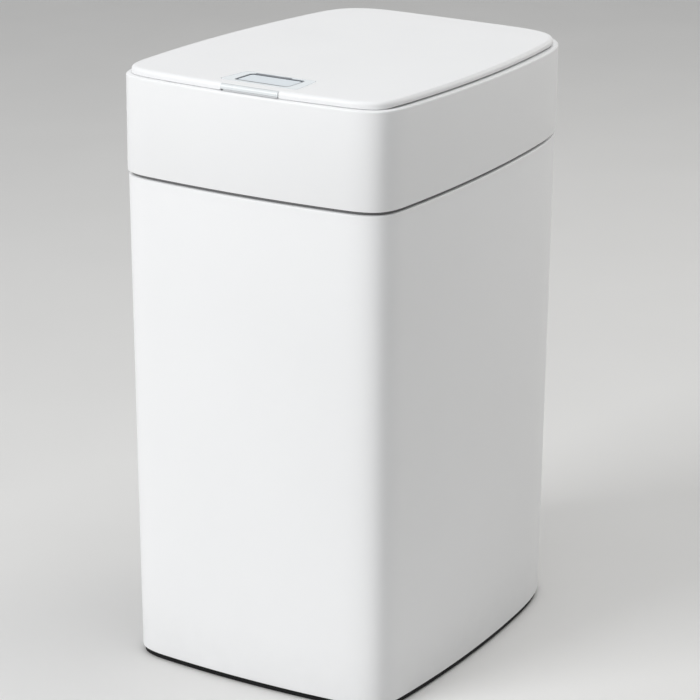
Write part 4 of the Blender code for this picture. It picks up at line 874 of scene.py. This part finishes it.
def make_lid(shell, inlay_plastic, key_gap_shade, tab_shadow_grey, tab_plastic, liner_plastic):
    """The lid slab, its glossy inlay, a dark line of painted shade round the key, the tab at the front with
    a strip of painted shadow under it, and the liner.
    """
    def ring(height, inset):
        return level([Vector((p.x, p.y - HINGE_Y)) for p in lid_plan(inset)], height)

    # The slab's lower edge, which comes down towards the front
    side_height, front_drop, drop_start, drop_run, edge = 0.0012, 0.0009, 0.0240, 0.0120, 0.0002

    def skirt(rise):
        return lambda y: side_height + rise - front_drop * share_of(LID_FRONT + drop_start - y, 0, drop_run)

    rings = [ring(SKIN_UNDER, LID_SKIN), ring(skirt(0), LID_SKIN), ring(skirt(0), edge),
             ring(skirt(edge), 0)]
    rings += [ring(LID_TOP - LID_RADIUS * down, LID_RADIUS * inwards) for inwards, down in fillet(8)]
    piece = raw(skin(rings))
    floor = LID_TOP - 0.0013
    tab_low, tab_high, tab_half, tab_back, tab_gap = 0.0013, 0.0050, 0.0235, LID_FRONT + 0.0027, 0.00015
    combine(piece, prism(inlay(CLEAR), floor, LID_TOP + OVER))
    combine(piece, prism(rectangle(SENSOR_X, BUTTON_Y, BUTTON_X_HALF, BUTTON_Y_HALF, BUTTON_RADIUS),
                         SKIN_UNDER - OVER, floor + CLEAR))
    combine(piece, block((SENSOR_X - tab_half - tab_gap, LID_FRONT - OVER, -OVER),
                         (SENSOR_X + tab_half + tab_gap, LID_FRONT + 0.0030, tab_high + tab_gap)))
    dress(piece, "lid_slab", "lid", ["lid_panel"], shell, angle=32, place=LID)

    line, line_stretch, line_low, line_top = 0.0010, 2.1, LID_TOP - 0.0006, LID_TOP - 0.0001

    def key_edge(grow):
        return rectangle(SENSOR_X, BUTTON_Y, BUTTON_X_HALF + grow, BUTTON_Y_HALF + line_stretch * grow,
                         BUTTON_RADIUS + grow)

    # A dark strip of painted shade behind the key, joined to the painted shade line round it
    gap, overlap, strip_front = 0.0001, 0.0010, BUTTON_Y + BUTTON_Y_HALF
    strip_left, strip_right, strip_back = SENSOR_X - 0.0195, SENSOR_X + 0.0100, strip_front + 0.0042
    plate = raw(prism(inlay(0.0), floor + CLEAR, LID_TOP))
    combine(plate, prism(key_edge(0.0), floor - OVER, LID_TOP + OVER))
    combine(plate, prism(key_edge(line + gap), line_low, LID_TOP + OVER))
    combine(plate, block((strip_left, strip_front, line_low), (strip_right, strip_back, LID_TOP + OVER)))
    dress(plate, "sensor_inlay", "lid", ["sensor_bezel"], inlay_plastic, bevel=0.0002,
          segments=2, place=LID)
    # The dark line round the key and the strip behind it are painted shade of the key's gap and of its
    # pocket's back wall
    key_shade_line = raw(prism(key_edge(line), line_low, line_top))
    combine(key_shade_line, block((strip_left + gap, strip_front - overlap, line_low),
                              (strip_right - gap, strip_back - gap, line_top)), "UNION")
    combine(key_shade_line, prism(key_edge(0.0), floor - OVER, LID_TOP + OVER))
    dress(key_shade_line, "key_painted_shade", "lid", [], key_gap_shade, bevel=0.0001, segments=1, place=LID)

    face, radius = LID_FRONT - 0.0004, 0.0021
    profile = [(tab_back, tab_high), (tab_back, tab_low), (face + edge, tab_low), (face, tab_low + edge)]
    profile += [(face + radius * inwards, tab_high - radius * down) for inwards, down in fillet()]
    dress(side_prism(profile, SENSOR_X - tab_half, SENSOR_X + tab_half), "front_tab", "lid",
          ["sensor_window"], tab_plastic, bevel=0.0003, place=LID)
    # A grey strip under the tab: painted shadow of the gap between the tab and the rim
    dress(block((SENSOR_X - tab_half + 0.0022, face, 0.0003),
                (SENSOR_X + tab_half, LID_FRONT + 0.0020, tab_low)),
          "tab_shadow_strip", "lid", [], tab_shadow_grey, bevel=0.0001, segments=1, place=LID)

    front, back = 0.0178 - HALF_DEPTH - HINGE_Y, HUMP_FRONT - 0.0080 - HINGE_Y
    half_x, middle, half_y = CORNER_X - 0.0197, (front + back) / 2, (back - front) / 2
    low, floor, top, wall, corner = -0.0060, -0.0042, SKIN_UNDER - CLEAR, 0.0016, 0.0140

    def tray(height, inset):
        return level(rectangle(0, middle, half_x - inset, half_y - inset, corner - inset, 12), height)

    rings = [tray(low + wall * down, wall * inwards) for inwards, down in reversed(fillet())]
    rings += [tray(top, 0), tray(top, wall), tray(floor, wall)]
    dress(skin(rings), "lid_inner_tray", "lid", ["lid_liner"], liner_plastic, place=LID)


def make_key(key_plastic, steel):
    """The press-to-open key, and the coil spring that it squeezes."""
    top, gap, nib, nib_low, nib_root = LID_TOP - CLEAR, 0.0004, 0.0014, 0.0020, 0.0010
    under = top - 0.0023
    key = raw(prism(rectangle(SENSOR_X, BUTTON_Y, BUTTON_X_HALF - gap, BUTTON_Y_HALF - gap,
                              BUTTON_RADIUS - gap), under, top))
    combine(key, turned((SENSOR_X, BUTTON_Y, 0), [(nib, under - nib_low), (nib, under + nib_root)], 24),
            "UNION")
    dress(key, "open_key", "button", ["open_button"], key_plastic, bevel=0.0004, place=LID)

    low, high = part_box("button_spring")
    x, y = (low.x + high.x) / 2, (low.y + high.y) / 2
    wire, coil, turns, per_turn, sides, inset = 0.00034, 0.0027, 4, 36, 10, 0.00005
    path = []
    for index in range(turns * per_turn + 1):
        angle = 2 * math.pi * index / per_turn
        rise = share_of(index, per_turn * 0.25, per_turn * (turns - 0.5))
        path.append(Vector((x + coil * math.cos(angle), y + coil * math.sin(angle),
                            low.z + wire + inset + (high.z - low.z - 2 * wire - 2 * inset) * rise)))
    made, loops = bmesh.new(), []
    for index, here in enumerate(path):
        ahead = path[min(index + 1, len(path) - 1)] - path[max(index - 1, 0)]
        out = Vector((here.x - x, here.y - y, 0)).normalized()
        up = ahead.normalized().cross(out)
        loops.append([made.verts.new(here + (out * math.cos(2 * math.pi * k / sides)
                                             + up * math.sin(2 * math.pi * k / sides)) * wire)
                      for k in range(sides)])
    span(made, loops)
    bmesh.ops.recalc_face_normals(made, faces=made.faces)
    spring = dress(made, "key_spring", "lid", ["button_spring"], steel, angle=60)
    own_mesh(spring)


def main():
    """Dress every piece, then light it."""
    place_camera()
    light_the_scene()
    # dust_and_shade darkens the shell and the plinth near the floor: dust, and painted shade
    white = surface("shell_white", (0.86, 0.863, 0.868), 0.42, mottle=0.005, mottle_scale=9,
                    rough_spread=0.035, grain=0.000012, grain_scale=1500, wave=0.00003, wave_scale=22,
                    dust_and_shade=0.25)
    inner = surface("inner_white", (0.83, 0.835, 0.84), 0.48, mottle=0.01, grain=0.00003)
    pale = surface("pail_grey", (0.60, 0.61, 0.62), 0.46, mottle=0.015, grain=0.00003, wave=0.00003)
    grey = surface("mid_grey_plastic", (0.30, 0.31, 0.32), 0.5, mottle=0.03)
    black = surface("plinth_black", (0.006, 0.006, 0.0065), 0.6, mottle=0.15, dust_and_shade=0.4, specular=0.15)
    part_black = surface("part_black", (0.02, 0.02, 0.021), 0.42, mottle=0.1)
    # A mid grey for the seam ring, dark enough to paint the seam's shade
    seam_gasket_shade = surface("gasket_painted_shade", (0.165, 0.165, 0.168), 0.8, mottle=0.04, specular=0.15)
    rubber = surface("pad_rubber", (0.05, 0.05, 0.05), 0.8, mottle=0.12, grain=0.00004)
    soft = surface("nub_rubber", (0.45, 0.47, 0.49), 0.62, mottle=0.04, grain=0.00003, soft=0.2)
    frosted = surface("frosted_cup", (0.86, 0.90, 0.92), 0.34, mottle=0.01, see_through=0.75)
    steel = surface("steel", (0.62, 0.62, 0.63), 0.28, metallic=1, mottle=0.02, brushed=(1, 1, 0.04))
    zinc = surface("zinc", (0.55, 0.56, 0.58), 0.4, metallic=1, mottle=0.05, mottle_scale=60)
    acetal = surface("gear_plastic", (0.75, 0.74, 0.70), 0.4, mottle=0.02)
    green = surface("board_green", (0.03, 0.18, 0.08), 0.35, mottle=0.12, mottle_scale=120, coat=0.4)
    sleeve = surface("cell_sleeve", (0.20, 0.30, 0.22), 0.3, mottle=0.03, coat=0.3)
    inlay_blue = surface("inlay_plastic", (0.72, 0.78, 0.81), 0.12, mottle=0.01, coat=0.3)
    # Near black for the painted shade round the key
    key_gap_shade = surface("key_gap_shade", (0.05, 0.06, 0.08), 0.35, mottle=0.05)
    key_blue = surface("key_plastic", (0.60, 0.68, 0.74), 0.15, mottle=0.01, coat=0.3)
    tab_grey = surface("tab_plastic", (0.74, 0.77, 0.78), 0.3, mottle=0.01, coat=0.2)
    make_barrel(white, black, seam_gasket_shade)
    make_head(white, grey)
    make_deck(inner)
    make_cover(inner, steel)
    make_bucket(pale, grey)
    make_brush_cell(pale, frosted)
    make_brush(soft, steel, inner, grey)
    make_drive(part_black, steel)
    make_electronics(green, part_black, steel)
    make_door_and_switch(white, part_black)
    make_lid(white, inlay_blue, key_gap_shade, pale, tab_grey, inner)
    make_key(key_blue, steel)
    kinds = {"white": white, "inner_white": inner, "light_grey": pale, "mid_grey": grey,
             "black": part_black, "rubber": rubber, "soft_rubber": soft, "frosted": frosted,
             "steel": steel, "zinc": zinc, "gear_plastic": acetal, "board": green,
             "inlay": inlay_blue, "key": key_blue, "window": tab_grey}
    slots = {part["node"]: part["material_slot"] for part in frame["record"]["subparts"]}
    for name, node in frame["nodes"].items():
        if not node.hide_render:
            kind = kinds[slots[name]]
            if name.startswith("battery_") and name[-1].isdigit():
                kind = sleeve
            node.data.materials.clear()
            node.data.materials.append(kind)


bpy.context.scene.view_settings.view_transform = "Standard"
main()
